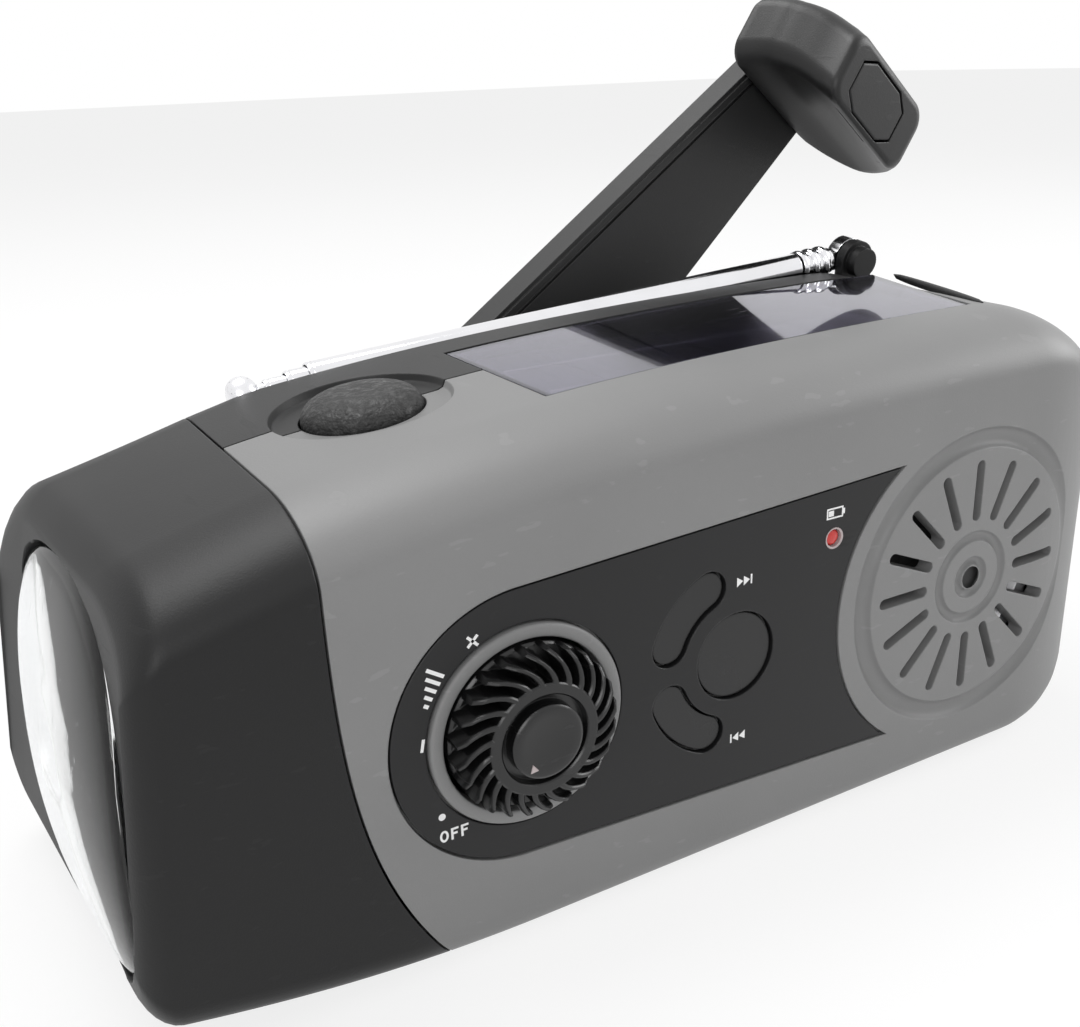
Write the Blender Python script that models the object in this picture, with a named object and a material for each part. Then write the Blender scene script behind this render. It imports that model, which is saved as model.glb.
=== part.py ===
# Hand cranked solar radio with a torch in its end, modelled piece by piece.
# Units are metres and +Z is up. The origin is the middle of the flat underside, -Y is the front
# with the control panel, +X is the speaker end and -X is the torch end.

import math

import bmesh
import bpy
from mathutils import Matrix, Vector

# Casing
body_height = 0.0622
front_y = -0.0264
back_y_at_floor = 0.0332
back_lean = math.radians(8.0)
speaker_end_x = 0.0680
torch_end_x = -0.0752
torch_end_slant_share = 0.09
torch_end_dome = 0.0042
torch_end_dome_z = 0.0160
crown_x = 0.0413
crown_drop = 0.0107
crown_square_share = 0.59
belly_start_x = -0.0300
belly_rise = 0.0052
wall = 0.0024
front_top_depth = 0.0135
front_top_rise = 0.0070
rear_top_radius = 0.0030
torch_top_start_x = -0.0400
torch_top_extra_radius = 0.0100
bottom_radius = 0.0045
speaker_end_round = 0.0200
speaker_end_inset = 0.0138
speaker_end_front_share = 0.74
speaker_end_rear_share = 0.56
speaker_end_fullness = 0.94
torch_end_round = 0.0030
parting_y = 0.0033
seam_x = -0.0535
seam_sweep = 0.0125
clearance = 0.0003
overrun = 0.0100

# Control panel
control_height_share = 0.455
control_z = body_height * control_height_share
panel_left_radius = 0.0162
panel_tip_height = 0.0192
panel_speaker_radius = 0.0237
panel_thickness = 0.0010
panel_recess = 0.0012
knob_x = -0.0318
knob_z = control_z

# Speaker and its grille
speaker_x = 0.0363
speaker_rise = 0.0006
speaker_z = control_z + speaker_rise
slot_outer_radius = 0.0165
slot_inner_radius = 0.0081
slot_width = 0.0015
slot_count = 16
grille_ring_outer = 0.0208
grille_ring_inner = 0.0180
grille_groove_depth = 0.0006
grille_dot_radius = 0.0017
grille_hub_groove_outer = 0.0030
grille_hub_rim_inner = 0.0051
grille_hub_rim_outer = 0.0066
speaker_radius = 0.0166
speaker_set_back = 0.0006
speaker_flange = 0.0015
speaker_depth = 0.0080
cone_thickness = 0.0006
cone_apex_radius = 0.0050
magnet_radius = 0.0095
magnet_depth = 0.0050

# Volume knob
knob_radius = 0.0098
knob_face_proud = 0.0046
knob_depth = 0.0110
knob_hub_radius = 0.0052
knob_hub_proud = 0.0006
knob_fin_count = 24
knob_fin_depth = 0.0042
knob_fin_share = 0.42
knob_fin_sweep = math.radians(16.0)
knob_ring_outer = 0.0119
knob_ring_inner = 0.0103
knob_ring_proud = 0.0004
knob_ring_thickness = 0.0013
volume_body_radius = 0.0080
volume_body_depth = 0.0050
volume_shaft_radius = 0.0020
volume_shaft_grip = 0.0050

# Buttons and charge lamp
centre_button_x = -0.0033
centre_button_rise = 0.0001
centre_button_z = control_z + centre_button_rise
centre_button_radius = 0.0054
scan_track_radius = 0.0103
scan_half_width = 0.0022
scan_start_angle = math.radians(114.0)
scan_end_angle = math.radians(159.0)
button_gap = 0.0003
button_set_back = 0.0004
button_travel = 0.0006
button_flange = 0.0008
button_flange_thickness = 0.0008
button_stem_radius = 0.0011
switch_size = 0.0050
switch_height = 0.0035
switch_plunger_radius = 0.0012
switch_plunger_height = 0.0008
charge_led_x = 0.0114
charge_led_rise = 0.0119
charge_led_z = control_z + charge_led_rise
charge_led_radius = 0.0011
charge_led_base_radius = 0.0016

# Main board
board_left_x = -0.0450
board_right_x = 0.0155
board_drop = 0.0133
board_rise = 0.0145
board_front_y = -0.0128
board_thickness = 0.0016
board_post_radius = 0.0026
board_post_places = ((-0.0415, 0.0109), (0.0050, 0.0109), (0.0120, -0.0098), (-0.0415, -0.0098))
chip_size = 0.0080
chip_height = 0.0018
chip_x = 0.0040
chip_drop = 0.0123

# Solar window and panel
window_left_x = -0.0200
window_right_front_x = 0.0475
window_right_rear_x = 0.0555
window_front_y = -0.0120
window_rear_y = 0.0144
window_thickness = 0.0011
window_recess = 0.0014
window_ledge = 0.0018
solar_thickness = 0.0016
solar_margin = 0.0012

# Torch button
torch_button_x = -0.0366
torch_button_y = 0.0033
torch_button_tilt = math.radians(6.6)
torch_recess_radius = 0.0110
torch_recess_depth = 0.0011
torch_dome_radius = 0.0074
torch_dome_height = 0.0028
torch_button_flange = 0.0012
torch_button_flange_thickness = 0.0010
torch_button_travel = 0.0006
torch_button_stem_radius = 0.0020
torch_board_length = 0.0105
torch_board_width = 0.0140
torch_board_gap = 0.0090
torch_shelf_thickness = 0.0014

# Torch
lens_y = -0.0037
lens_z = 0.0275
lens_half_width = 0.0187
lens_half_height = 0.0211
lens_squareness = 2.8
lens_lean_share = 0.20
lens_thickness = 0.0014
lens_crown = 0.0022
lens_seat = 0.0008
lens_ring_shares = (0.4, 0.75, 1.0)
reflector_wall = 0.0010
reflector_depth = 0.0140
reflector_step_depth = 0.0070
reflector_step_radius = 0.0142
reflector_floor_radius = 0.0115
led_radius = 0.0025
led_height = 0.0062
led_flange = 0.0004
led_flange_height = 0.0010
led_spacing = 0.0100
led_board_radius = 0.0120
led_board_thickness = 0.0014

# Crank, in the plane of the leaning back
hub_x = -0.0174
hub_height_share = 0.498
hub_height = body_height * hub_height_share
crank_angle = math.radians(35.8)
fold_angle = math.radians(9.8)
crank_length = 0.0965
arm_root_half_width = 0.0148
arm_tip_half_width = 0.0080
arm_thickness = 0.0050
arm_stand_off = 0.0055
arm_web_start = 0.0052
arm_fork_half_gap = 0.0064
hub_radius = 0.0140
hub_gap = 0.0006
hub_thickness = 0.0036
hub_lug_half_width = 0.0060
hub_lug_radius = 0.0030
hinge_pin_radius = 0.0012
hinge_pin_half_length = 0.0140
running_gap = 0.0002
shaft_radius = 0.0025
bush_radius = 0.0042
bush_flange_radius = 0.0060
bush_flange_thickness = 0.0008
handle_length = 0.0192
handle_gap = 0.0006
handle_turn = math.radians(17.0)
handle_corner_share = 0.55
handle_end_round = 0.0012
handle_stations = (
    (0.00, -0.0040, 0.0082, -0.0162, 0.0092),
    (0.12, -0.0034, 0.0090, -0.0154, 0.0162),
    (0.23, -0.0026, 0.0093, -0.0146, 0.0213),
    (0.34, -0.0022, 0.0093, -0.0138, 0.0229),
    (0.58, -0.0028, 0.0088, -0.0121, 0.0210),
    (0.82, -0.0046, 0.0072, -0.0104, 0.0166),
    (1.00, -0.0062, 0.0056, -0.0099, 0.0130),
)
handle_pin_radius = 0.0013
handle_pin_head_radius = 0.0026
handle_pin_head_height = 0.0014
handle_cap_half_width = 0.0068
handle_cap_half_depth = 0.0044
handle_cap_shift_along = 0.0005
handle_cap_shift_across = 0.0006
handle_cap_chamfer_share = 0.42
handle_cap_thickness = 0.0012
handle_cap_well = 0.0032

# Gear train and dynamo
gear_module = 0.0007
crank_gear_teeth = 34
first_pinion_teeth = 9
first_wheel_teeth = 30
second_pinion_teeth = 9
second_wheel_teeth = 28
dynamo_pinion_teeth = 8
gear_face = 0.0028
gear_step = 0.0036
gear_wall_gap = 0.0012
tooth_addendum_share = 0.75
tooth_dedendum_share = 1.15
tooth_root_share = 0.62
tooth_tip_share = 0.20
gear_pin_radius = 0.0010
gear_plate_thickness = 0.0016
gear_plate_margin = 0.0045
gear_post_radius = 0.0022
dynamo_radius = 0.0110
dynamo_depth = 0.0100
dynamo_collar_radius = 0.0035
dynamo_collar_height = 0.0010
first_gear_angle = math.radians(-28.0)
second_gear_angle = math.radians(14.0)
dynamo_angle = math.radians(80.0)

# Battery
battery_x = 0.0290
battery_y = 0.0000
battery_cell_radius = 0.0046
battery_cell_length = 0.0440
battery_pitch_share = 1.94
battery_cell_count = 3

# Aerial along the top of the back
aerial_pivot_x = 0.0575
aerial_tip_x = -0.0452
aerial_pivot_rise = 0.0023
aerial_depth = 0.0013
aerial_drop_angle = math.radians(4.08)
aerial_radii = (0.0023, 0.0018, 0.0013, 0.0009)
aerial_step_out = 0.0030
aerial_tube_wall = 0.0003
aerial_tip_radius = 0.0024
aerial_tip_length = 0.0040
aerial_ledge_margin = 0.0005
aerial_ledge_wall = 0.0014
aerial_eye_radius = 0.0032
aerial_eye_half_thickness = 0.0011
aerial_socket_start = 0.0040
aerial_socket_end = 0.0105
aerial_neck_half_height = 0.0015
aerial_collar_radius = 0.0026
aerial_screw_radius = 0.0012
aerial_screw_head_radius = 0.0021
aerial_screw_head_height = 0.0009
aerial_screw_reach = 0.0040
aerial_tab_thickness = 0.0016
aerial_tab_foot = 0.0090

# Fasteners
screw_radius = 0.0013
screw_head_radius = 0.0025
screw_head_height = 0.0016
screw_length = 0.0180
boss_radius = 0.0032
boss_bore_depth = 0.0110
screw_well_radius = 0.0029
screw_well_floor = 0.0060
recess_arm = 0.0009
recess_depth = 0.0008
upper_screw_drop = 0.0160
upper_screw_z = body_height - upper_screw_drop
screw_places = ((-0.0400, 0.0105), (0.0560, 0.0110), (-0.0455, upper_screw_z), (0.0540, upper_screw_z))

round_sides = 32
small_sides = 12


def material(name, colour, roughness, metallic=0.0, alpha=1.0):
    made = bpy.data.materials.new(name)
    made.use_nodes = True
    shader = made.node_tree.nodes["Principled BSDF"]
    shader.inputs["Base Color"].default_value = (*colour, 1.0)
    shader.inputs["Roughness"].default_value = roughness
    shader.inputs["Metallic"].default_value = metallic
    shader.inputs["Alpha"].default_value = alpha
    return made


def clear_scene():
    for old in list(bpy.data.objects):
        bpy.data.objects.remove(old, do_unlink=True)


clear_scene()
parts = bpy.data.collections.new("dynamo_solar_radio")
cutters = bpy.data.collections.new("cutters")
bpy.context.scene.collection.children.link(parts)
bpy.context.scene.collection.children.link(cutters)

grey = material("grey_shell", (0.27, 0.27, 0.27), 0.42)
black = material("black_shell", (0.018, 0.018, 0.019), 0.45)
panel_black = material("panel_black", (0.022, 0.022, 0.023), 0.28)
gloss_black = material("gloss_black", (0.008, 0.008, 0.009), 0.15)
rubber = material("black_rubber", (0.03, 0.03, 0.03), 0.75)
smoke = material("smoked_window", (0.16, 0.15, 0.22), 0.05, 0.0, 0.6)
silicon = material("solar_cells", (0.02, 0.02, 0.05), 0.2)
clear = material("clear_lens", (0.85, 0.88, 0.9), 0.03, 0.0, 0.3)
chrome = material("chrome", (0.8, 0.8, 0.82), 0.08, 1.0)
steel = material("steel", (0.55, 0.55, 0.56), 0.3, 1.0)
brass = material("brass", (0.62, 0.45, 0.18), 0.3, 1.0)
board_green = material("board_green", (0.02, 0.12, 0.05), 0.5)
white_plastic = material("white_plastic", (0.75, 0.75, 0.72), 0.4)
red_lens = material("red_lens", (0.45, 0.01, 0.01), 0.2)
paper = material("speaker_paper", (0.05, 0.05, 0.05), 0.8)
wrap = material("battery_wrap", (0.05, 0.18, 0.12), 0.4)


def link(obj, look=None, collection=None):
    (collection or parts).objects.link(obj)
    if look:
        obj.data.materials.append(look)
    return obj


def mesh_object(name, bm, look=None, frame=None):
    bmesh.ops.recalc_face_normals(bm, faces=bm.faces)
    mesh = bpy.data.meshes.new(name)
    bm.to_mesh(mesh)
    bm.free()
    obj = link(bpy.data.objects.new(name, mesh), look)
    if frame:
        obj.matrix_world = frame
    return obj


def frame_at(origin, normal, up=(0.0, 0.0, 1.0)):
    z_axis = Vector(normal).normalized()
    x_axis = Vector(up).cross(z_axis).normalized()
    y_axis = z_axis.cross(x_axis)
    turned = Matrix((x_axis, y_axis, z_axis)).transposed().to_4x4()
    return Matrix.Translation(Vector(origin)) @ turned


def box(name, low, high, look=None, frame=None):
    bm = bmesh.new()
    bmesh.ops.create_cube(bm, size=1.0)
    low, high = Vector(low), Vector(high)
    size, centre = high - low, (high + low) / 2
    bmesh.ops.transform(bm, verts=bm.verts, matrix=Matrix.Translation(centre) @ Matrix.Diagonal((*size, 1.0)))
    return mesh_object(name, bm, look, frame)


def rod(name, radius, start, end, look=None, frame=None, end_radius=None, sides=None):
    """A cylinder or cone along local Z from start to end."""
    bm = bmesh.new()
    bmesh.ops.create_cone(
        bm,
        cap_ends=True,
        segments=sides or round_sides,
        radius1=radius,
        radius2=radius if end_radius is None else end_radius,
        depth=end - start,
        matrix=Matrix.Translation((0.0, 0.0, (start + end) / 2)),
    )
    return mesh_object(name, bm, look, frame)


def turned(name, profile, look=None, frame=None, sides=None):
    """A profile of (radius, height) pairs turned about local Z; closed at the axis where it meets it."""
    bm = bmesh.new()
    count = sides or round_sides
    rings = []
    for radius, height in profile:
        if radius == 0:
            rings.append([bm.verts.new((0.0, 0.0, height))])
            continue
        rings.append(
            [
                bm.verts.new((radius * math.cos(math.tau * k / count), radius * math.sin(math.tau * k / count), height))
                for k in range(count)
            ]
        )
    closed = profile[0][0] > 0 and profile[-1][0] > 0
    pairs = list(zip(rings, rings[1:])) + ([(rings[-1], rings[0])] if closed else [])
    for first, second in pairs:
        for k in range(count):
            after = (k + 1) % count
            if len(first) == 1:
                bm.faces.new((first[0], second[after], second[k]))
            elif len(second) == 1:
                bm.faces.new((first[k], first[after], second[0]))
            else:
                bm.faces.new((first[k], first[after], second[after], second[k]))
    return mesh_object(name, bm, look, frame)


def loft(name, rings, look=None, frame=None):
    """Skin through rings of equal point counts, closed at both ends by a fan about the middle."""
    bm = bmesh.new()
    levels = [[bm.verts.new(point) for point in ring] for ring in rings]
    count = len(levels[0])
    for first, second in zip(levels, levels[1:]):
        for k in range(count):
            after = (k + 1) % count
            bm.faces.new((first[k], first[after], second[after], second[k]))
    for level in (levels[0], levels[-1]):
        middle = bm.verts.new(sum((vert.co for vert in level), Vector()) / count)
        for k in range(count):
            bm.faces.new((level[k], level[(k + 1) % count], middle))
    return mesh_object(name, bm, look, frame)


def slab(name, outline, start, end, look=None, frame=None):
    """A flat outline in local XY made solid between two heights along local Z."""
    curve = bpy.data.curves.new(name, "CURVE")
    curve.dimensions = "2D"
    curve.fill_mode = "BOTH"
    curve.render_resolution_u = 0
    curve.extrude = (end - start) / 2
    spline = curve.splines.new("POLY")
    spline.points.add(len(outline) - 1)
    for point, (across, along) in zip(spline.points, outline):
        point.co = (across, along, 0.0, 1.0)
    spline.use_cyclic_u = True
    drawn = link(bpy.data.objects.new(name + "_outline", curve), None, cutters)
    drawn.matrix_world = (frame or Matrix()) @ Matrix.Translation((0.0, 0.0, (start + end) / 2))
    return meshed(name, drawn, look)


def meshed(name, drawn, look=None):
    bpy.context.view_layer.update()
    mesh = bpy.data.meshes.new_from_object(drawn.evaluated_get(bpy.context.evaluated_depsgraph_get()))
    bm = bmesh.new()
    bm.from_mesh(mesh)
    bmesh.ops.remove_doubles(bm, verts=bm.verts, dist=0.000001)
    bmesh.ops.recalc_face_normals(bm, faces=bm.faces)
    bm.to_mesh(mesh)
    bm.free()
    mesh.name = name
    mesh.materials.clear()
    obj = link(bpy.data.objects.new(name, mesh), look)
    obj.matrix_world = drawn.matrix_world
    bpy.data.objects.remove(drawn, do_unlink=True)
    return obj


def combine(target, tools, operation):
    for tool in tools if isinstance(tools, (list, tuple)) else [tools]:
        cut = target.modifiers.new(operation.lower(), "BOOLEAN")
        cut.operation = operation
        cut.solver = "EXACT"
        cut.object = tool
        for holder in list(tool.users_collection):
            holder.objects.unlink(tool)
        cutters.objects.link(tool)
        tool.hide_render = True
        tool.display_type = "WIRE"
    return settle(target)


def settle(target):
    """Bakes the cuts so far into the mesh and clears their tools away."""
    bpy.context.view_layer.update()
    mesh = bpy.data.meshes.new_from_object(target.evaluated_get(bpy.context.evaluated_depsgraph_get()))
    tools = [step.object for step in target.modifiers if step.type == "BOOLEAN"]
    target.modifiers.clear()
    mesh.materials.clear()
    for look in target.data.materials:
        mesh.materials.append(look)
    bm = bmesh.new()
    bm.from_mesh(mesh)
    bmesh.ops.remove_doubles(bm, verts=bm.verts, dist=0.000002)
    bmesh.ops.dissolve_degenerate(bm, edges=bm.edges, dist=0.000002)
    bm.to_mesh(mesh)
    bm.free()
    for face in mesh.polygons:
        face.material_index = 0
    mesh.name = target.name
    target.data = mesh
    for tool in tools:
        if not tool.get("kept"):
            bpy.data.objects.remove(tool, do_unlink=True)
    return target


def cut(target, *tools):
    return combine(target, list(tools), "DIFFERENCE")


def join(target, *tools):
    return combine(target, list(tools), "UNION")


def keep_inside(target, *tools):
    return combine(target, list(tools), "INTERSECT")


def copy_of(source, name):
    twin = bpy.data.objects.new(name, source.data.copy())
    parts.objects.link(twin)
    twin.matrix_world = source.matrix_world
    return twin


def arc(centre, radius, start, end, steps):
    return [
        (
            centre[0] + radius * math.cos(start + (end - start) * k / steps),
            centre[1] + radius * math.sin(start + (end - start) * k / steps),
        )
        for k in range(steps + 1)
    ]


# Shape of the casing


def top_z(x):
    share = (crown_x - x) / (crown_x - torch_end_x)
    return body_height - crown_drop * (crown_square_share * share**2 + (1 - crown_square_share) * share**4)


def bottom_z(x):
    share = max(0.0, (belly_start_x - x) / (belly_start_x - torch_end_x))
    return belly_rise * share**2


def back_y(z):
    return back_y_at_floor - z * math.tan(back_lean)


def end_set_back(z):
    """How far the domed torch end lies back at one height."""
    return torch_end_dome * ((z - torch_end_dome_z) / (body_height / 2)) ** 2


def torch_share(x):
    return max(0.0, min(1.0, (seam_x - x) / (seam_x - torch_end_x)))


def section(x, inset=0.0, shrink=0.0):
    """Ring of points round the casing at one station, counter-clockwise seen from the speaker end."""
    end_share = max(0.0, (x - speaker_end_x + speaker_end_round) / speaker_end_round)
    full = speaker_end_fullness
    end_round = speaker_end_inset * (1 - math.sqrt(max(0.0, 1 - full * end_share**2))) / (1 - math.sqrt(1 - full))
    front = front_y + inset + shrink + end_round * speaker_end_front_share
    top = top_z(x) - inset - shrink - end_round
    low = bottom_z(x) + inset + shrink + end_round * speaker_end_front_share
    pull = (inset + shrink + end_round * speaker_end_rear_share) / math.cos(back_lean)
    top_depth = front_top_depth - inset * 0.5
    top_rise = front_top_rise - inset * 0.5
    torch_rise = max(0.0, torch_top_start_x - x) / (torch_top_start_x - torch_end_x)
    rear = max(rear_top_radius + torch_top_extra_radius * (1 - (1 - torch_rise) ** 2) - inset, wall / 4)
    foot = max(bottom_radius - inset, wall / 4)
    half_turn = math.pi
    ring = []

    def rear_centre(z, radius):
        return (back_y(z) - pull - radius / math.cos(back_lean), z)

    ring += arc(rear_centre(top - rear, rear), rear, back_lean, half_turn / 2, 3)
    for k in range(8):
        angle = half_turn / 2 + half_turn / 2 * k / 7
        ring.append((front + top_depth + top_depth * math.cos(angle), top - top_rise + top_rise * math.sin(angle)))
    ring += arc((front + foot, low + foot), foot, half_turn, half_turn * 1.5, 3)
    ring += arc(rear_centre(low + foot, foot), foot, half_turn * 1.5, half_turn * 2 + back_lean, 3)
    share = torch_share(x)
    return [(x - share * torch_end_slant_share * (y - front_y) + share * end_set_back(z), y, z) for y, z in ring]


def casing(name, inset, start, end):
    """The casing's solid, set in by an even depth, between two stations."""
    rings = []
    if start <= torch_end_x + torch_end_round:
        for step in range(4):
            turn = math.pi / 2 * step / 3
            rings.append(
                section(
                    start + torch_end_round * (1 - math.cos(turn)) if step else start,
                    inset,
                    torch_end_round * (1 - math.sin(turn)),
                )
            )
    else:
        rings.append(section(start, inset))
    bend = speaker_end_x - speaker_end_round
    first = start + torch_end_round * 1.6
    for step in range(8):
        rings.append(section(first + (bend - first) * step / 7, inset))
    for step in range(1, 7):
        reach = math.sin(math.pi / 2 * step / 6)
        rings.append(section(bend + (end - bend) * reach, inset))
    return loft(name, rings)


def seam(z):
    return seam_x + seam_sweep * max(0.0, 1 - z / body_height) ** 4


def seam_region(name, side, gap, low_y, high_y):
    """Everything on one side of the curved seam between the torch cap and the rest."""
    heights = [body_height * (1.3 - 1.6 * k / 24) for k in range(25)]
    line = [(seam(z) + gap * side, z) for z in heights]
    far = (speaker_end_x + overrun * 2) if side > 0 else (torch_end_x - overrun * 2)
    outline = line + [(far, heights[-1]), (far, heights[0])]
    face = frame_at((0.0, 0.0, 0.0), (0.0, -1.0, 0.0))
    return slab(name, outline, -high_y, -low_y, None, face)


front_face = frame_at((0.0, front_y, 0.0), (0.0, -1.0, 0.0))
back_normal = Vector((0.0, math.cos(back_lean), math.sin(back_lean)))
back_up = Vector((0.0, -math.sin(back_lean), math.cos(back_lean)))


def on_back(x, height, out=0.0):
    """A point on the leaning back, a distance up it from the floor line, and out from it."""
    return Vector((x, back_y_at_floor, 0.0)) + back_up * height + back_normal * out


def back_frame(x, height):
    return frame_at(on_back(x, height), back_normal, back_up)


def front_frame(x, z):
    return frame_at((x, front_y, z), (0.0, -1.0, 0.0))


# Cutters for the control panel, grille and window


def panel_outline(grow):
    """Round at the knob, hollow at the speaker, with two tips between."""
    knob = Vector((knob_x, knob_z))
    radius = panel_left_radius + grow
    reach = panel_speaker_radius - grow
    rise = panel_tip_height + grow
    tip = Vector((speaker_x - math.sqrt(reach**2 - rise**2), speaker_z + rise))
    to_tip = tip - knob
    tangent = math.atan2(to_tip.y, to_tip.x) + math.acos(radius / to_tip.length)
    tip_angle = math.atan2(rise, tip.x - speaker_x)
    outline = arc(knob, radius, tangent, math.tau - tangent, 24)
    outline += arc((speaker_x, knob_z), reach, math.tau - tip_angle, tip_angle, 16)
    return outline


def stadium(length_start, length_end, half_width, steps=6):
    """A round-ended slot along local X."""
    outline = arc((length_end - half_width, 0.0), half_width, -math.pi / 2, math.pi / 2, steps)
    outline += arc((length_start + half_width, 0.0), half_width, math.pi / 2, math.pi * 1.5, steps)
    return outline


def bean(sign, grow):
    """The curved key that wraps round the centre button; sign picks the upper or the lower one."""
    half = scan_half_width + grow
    centre = (centre_button_x, centre_button_z)
    outer = arc(centre, scan_track_radius + half, scan_start_angle, scan_end_angle, 6)
    inner = arc(centre, scan_track_radius - half, scan_end_angle, scan_start_angle, 6)

    def cap(angle, turn):
        middle = (
            centre[0] + scan_track_radius * math.cos(angle),
            centre[1] + scan_track_radius * math.sin(angle),
        )
        return arc(middle, half, turn, turn + math.pi, 5)[1:-1]

    outline = outer + cap(scan_end_angle, scan_end_angle) + inner
    outline += cap(scan_start_angle, scan_start_angle + math.pi)
    if sign < 0:
        outline = [(x, 2 * centre_button_z - z) for x, z in reversed(outline)]
    return outline


def window_plate(name, grow, top_drop, bottom_drop):
    """A plate that follows the crown of the top, with its speaker end cut slantwise."""
    rings = []
    count = 12
    for k in range(count + 1):
        share = k / count
        front_x = window_left_x - grow + (window_right_front_x - window_left_x + 2 * grow) * share
        rear_x = window_left_x - grow + (window_right_rear_x - window_left_x + 2 * grow) * share
        rings.append(
            [
                (front_x, window_front_y - grow, top_z(front_x) - bottom_drop),
                (rear_x, window_rear_y + grow, top_z(rear_x) - bottom_drop),
                (rear_x, window_rear_y + grow, top_z(rear_x) - top_drop),
                (front_x, window_front_y - grow, top_z(front_x) - top_drop),
            ]
        )
    return loft(name, rings)


torch_button_frame = frame_at(
    (torch_button_x, torch_button_y, top_z(torch_button_x)),
    (-math.sin(torch_button_tilt), 0.0, math.cos(torch_button_tilt)),
    (0.0, 1.0, 0.0),
)


def front_housing(outer, inner):
    shell = copy_of(outer, "front_housing")
    shell.data.materials.append(grey)
    keep_inside(shell, seam_region("front_region", 1, clearance / 2, front_y - overrun, parting_y - clearance / 2))
    cavity = copy_of(inner, "front_cavity")
    cut(shell, cavity)
    bosses = []
    for k, (x, z) in enumerate(screw_places):
        depth = parting_y - clearance - front_y
        bosses.append(rod("boss", boss_radius, -depth, -wall / 2, None, front_frame(x, z), sides=small_sides))
    for x, rise in board_post_places:
        depth = board_front_y - clearance - front_y
        place = front_frame(x, control_z + rise)
        bosses.append(rod("post", board_post_radius, -depth, -wall / 2, None, place, sides=small_sides))
    shelf_top = torch_board_bottom() - clearance
    half = torch_board_length / 2
    bosses.append(
        box(
            "shelf",
            (torch_button_x - half, front_y + wall / 2, shelf_top - torch_shelf_thickness),
            (torch_button_x + half, torch_button_y - torch_board_width / 4, shelf_top),
        )
    )
    join(shell, *bosses)
    for x, z in screw_places:
        depth = parting_y - front_y
        cut(shell, rod("bore", screw_radius - running_gap, -depth - overrun, boss_bore_depth - depth, None,
                       front_frame(x, z), sides=small_sides))
    cut(shell, slab("panel_recess", panel_outline(clearance), -panel_recess, overrun, None, front_face))
    well = rod("knob_well", knob_ring_inner, -wall - overrun / 2, overrun, None, front_frame(knob_x, knob_z))
    cut(shell, well)
    holes = [slab("scan_hole", bean(sign, button_gap), -wall - overrun / 4, overrun, None, front_face) for sign in (1, -1)]
    holes.append(
        rod("centre_hole", centre_button_radius + button_gap, -wall - overrun / 4, overrun, None,
            front_frame(centre_button_x, centre_button_z))
    )
    holes.append(
        rod("lamp_hole", charge_led_radius + clearance, -wall - overrun / 4, overrun, None,
            front_frame(charge_led_x, charge_led_z), sides=small_sides)
    )
    cut(shell, *holes)
    grille(shell)
    top_cuts(shell)
    return shell


def grille(shell):
    place = front_frame(speaker_x, speaker_z)
    for k in range(slot_count):
        turn = Matrix.Rotation(math.pi / 2 + math.tau * k / slot_count, 4, "Z")
        slot = slab("slot", stadium(slot_inner_radius, slot_outer_radius, slot_width / 2, 3), -wall - overrun / 4,
                    overrun, None, place @ turn)
        cut(shell, slot)
    rings = ((grille_ring_outer, grille_ring_inner), (grille_hub_rim_outer, grille_hub_rim_inner),
             (grille_hub_groove_outer, grille_dot_radius))
    for outer_radius, inner_radius in rings:
        groove = turned(
            "groove",
            (
                (outer_radius, -grille_groove_depth),
                (outer_radius, overrun),
                (inner_radius, overrun),
                (inner_radius, -grille_groove_depth),
            ),
            None,
            place,
        )
        cut(shell, groove)


def top_cuts(shell):
    """The window's bed, the opening under it, and the torch button's dish and hole."""
    cut(shell, window_plate("window_bed", clearance, -overrun, window_recess))
    cut(shell, window_plate("window_opening", -window_ledge, -overrun, wall + overrun / 4))
    cut(
        shell,
        rod("dish", torch_recess_radius, -torch_recess_depth, overrun, None, torch_button_frame),
        rod("dome_hole", torch_dome_radius + clearance, -wall - overrun / 2, overrun, None, torch_button_frame),
    )


def torch_board_bottom():
    return top_z(torch_button_x) - wall - torch_board_gap


def rear_housing(outer, inner):
    shell = copy_of(outer, "rear_housing")
    shell.data.materials.append(black)
    keep_inside(shell, seam_region("rear_region", 1, clearance / 2, parting_y + clearance / 2,
                                   back_y_at_floor + overrun))
    cavity = copy_of(inner, "rear_cavity")
    cut(shell, cavity)
    posts = []
    for x, z in screw_places:
        frame = frame_at((x, parting_y + clearance, z), (0.0, 1.0, 0.0))
        posts.append(rod("post", boss_radius, 0.0, back_y(z) - parting_y - wall, None, frame, sides=small_sides))
    join(shell, *posts)
    join(shell, aerial_tray(1))
    cut(shell, aerial_ledge_cut())
    for x, z in screw_places:
        frame = frame_at((x, parting_y, z), (0.0, 1.0, 0.0))
        cut(
            shell,
            rod("through", screw_radius + clearance, -overrun, back_y(z) - parting_y + overrun, None, frame,
                sides=small_sides),
            rod("well", screw_well_radius, screw_well_floor, back_y(z) - parting_y + overrun, None, frame,
                sides=small_sides),
        )
    cut(shell, rod("bush_hole", bush_radius + clearance, -wall - overrun / 2, overrun, None,
                   back_frame(hub_x, hub_height)))
    join(shell, *aerial_tab())
    cut(shell, rod("screw_hole", aerial_screw_radius + running_gap, -aerial_screw_reach - clearance, overrun, None,
                   aerial_frame(), sides=small_sides))
    top_cuts(shell)
    return shell


def aerial_origin():
    return on_back(aerial_pivot_x, body_height + aerial_pivot_rise, -aerial_depth)


def aerial_frame():
    """Origin at the aerial's swivel, local Z out of the back, local X towards the folded tip."""
    along = Vector((-math.cos(aerial_drop_angle), 0.0, 0.0)) - back_up * math.sin(aerial_drop_angle)
    return frame_at(aerial_origin(), back_normal, back_normal.cross(along))


def aerial_reach():
    """Distance from the aerial's axis to the floor and the wall of its ledge."""
    return aerial_radii[0] + aerial_ledge_margin


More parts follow.
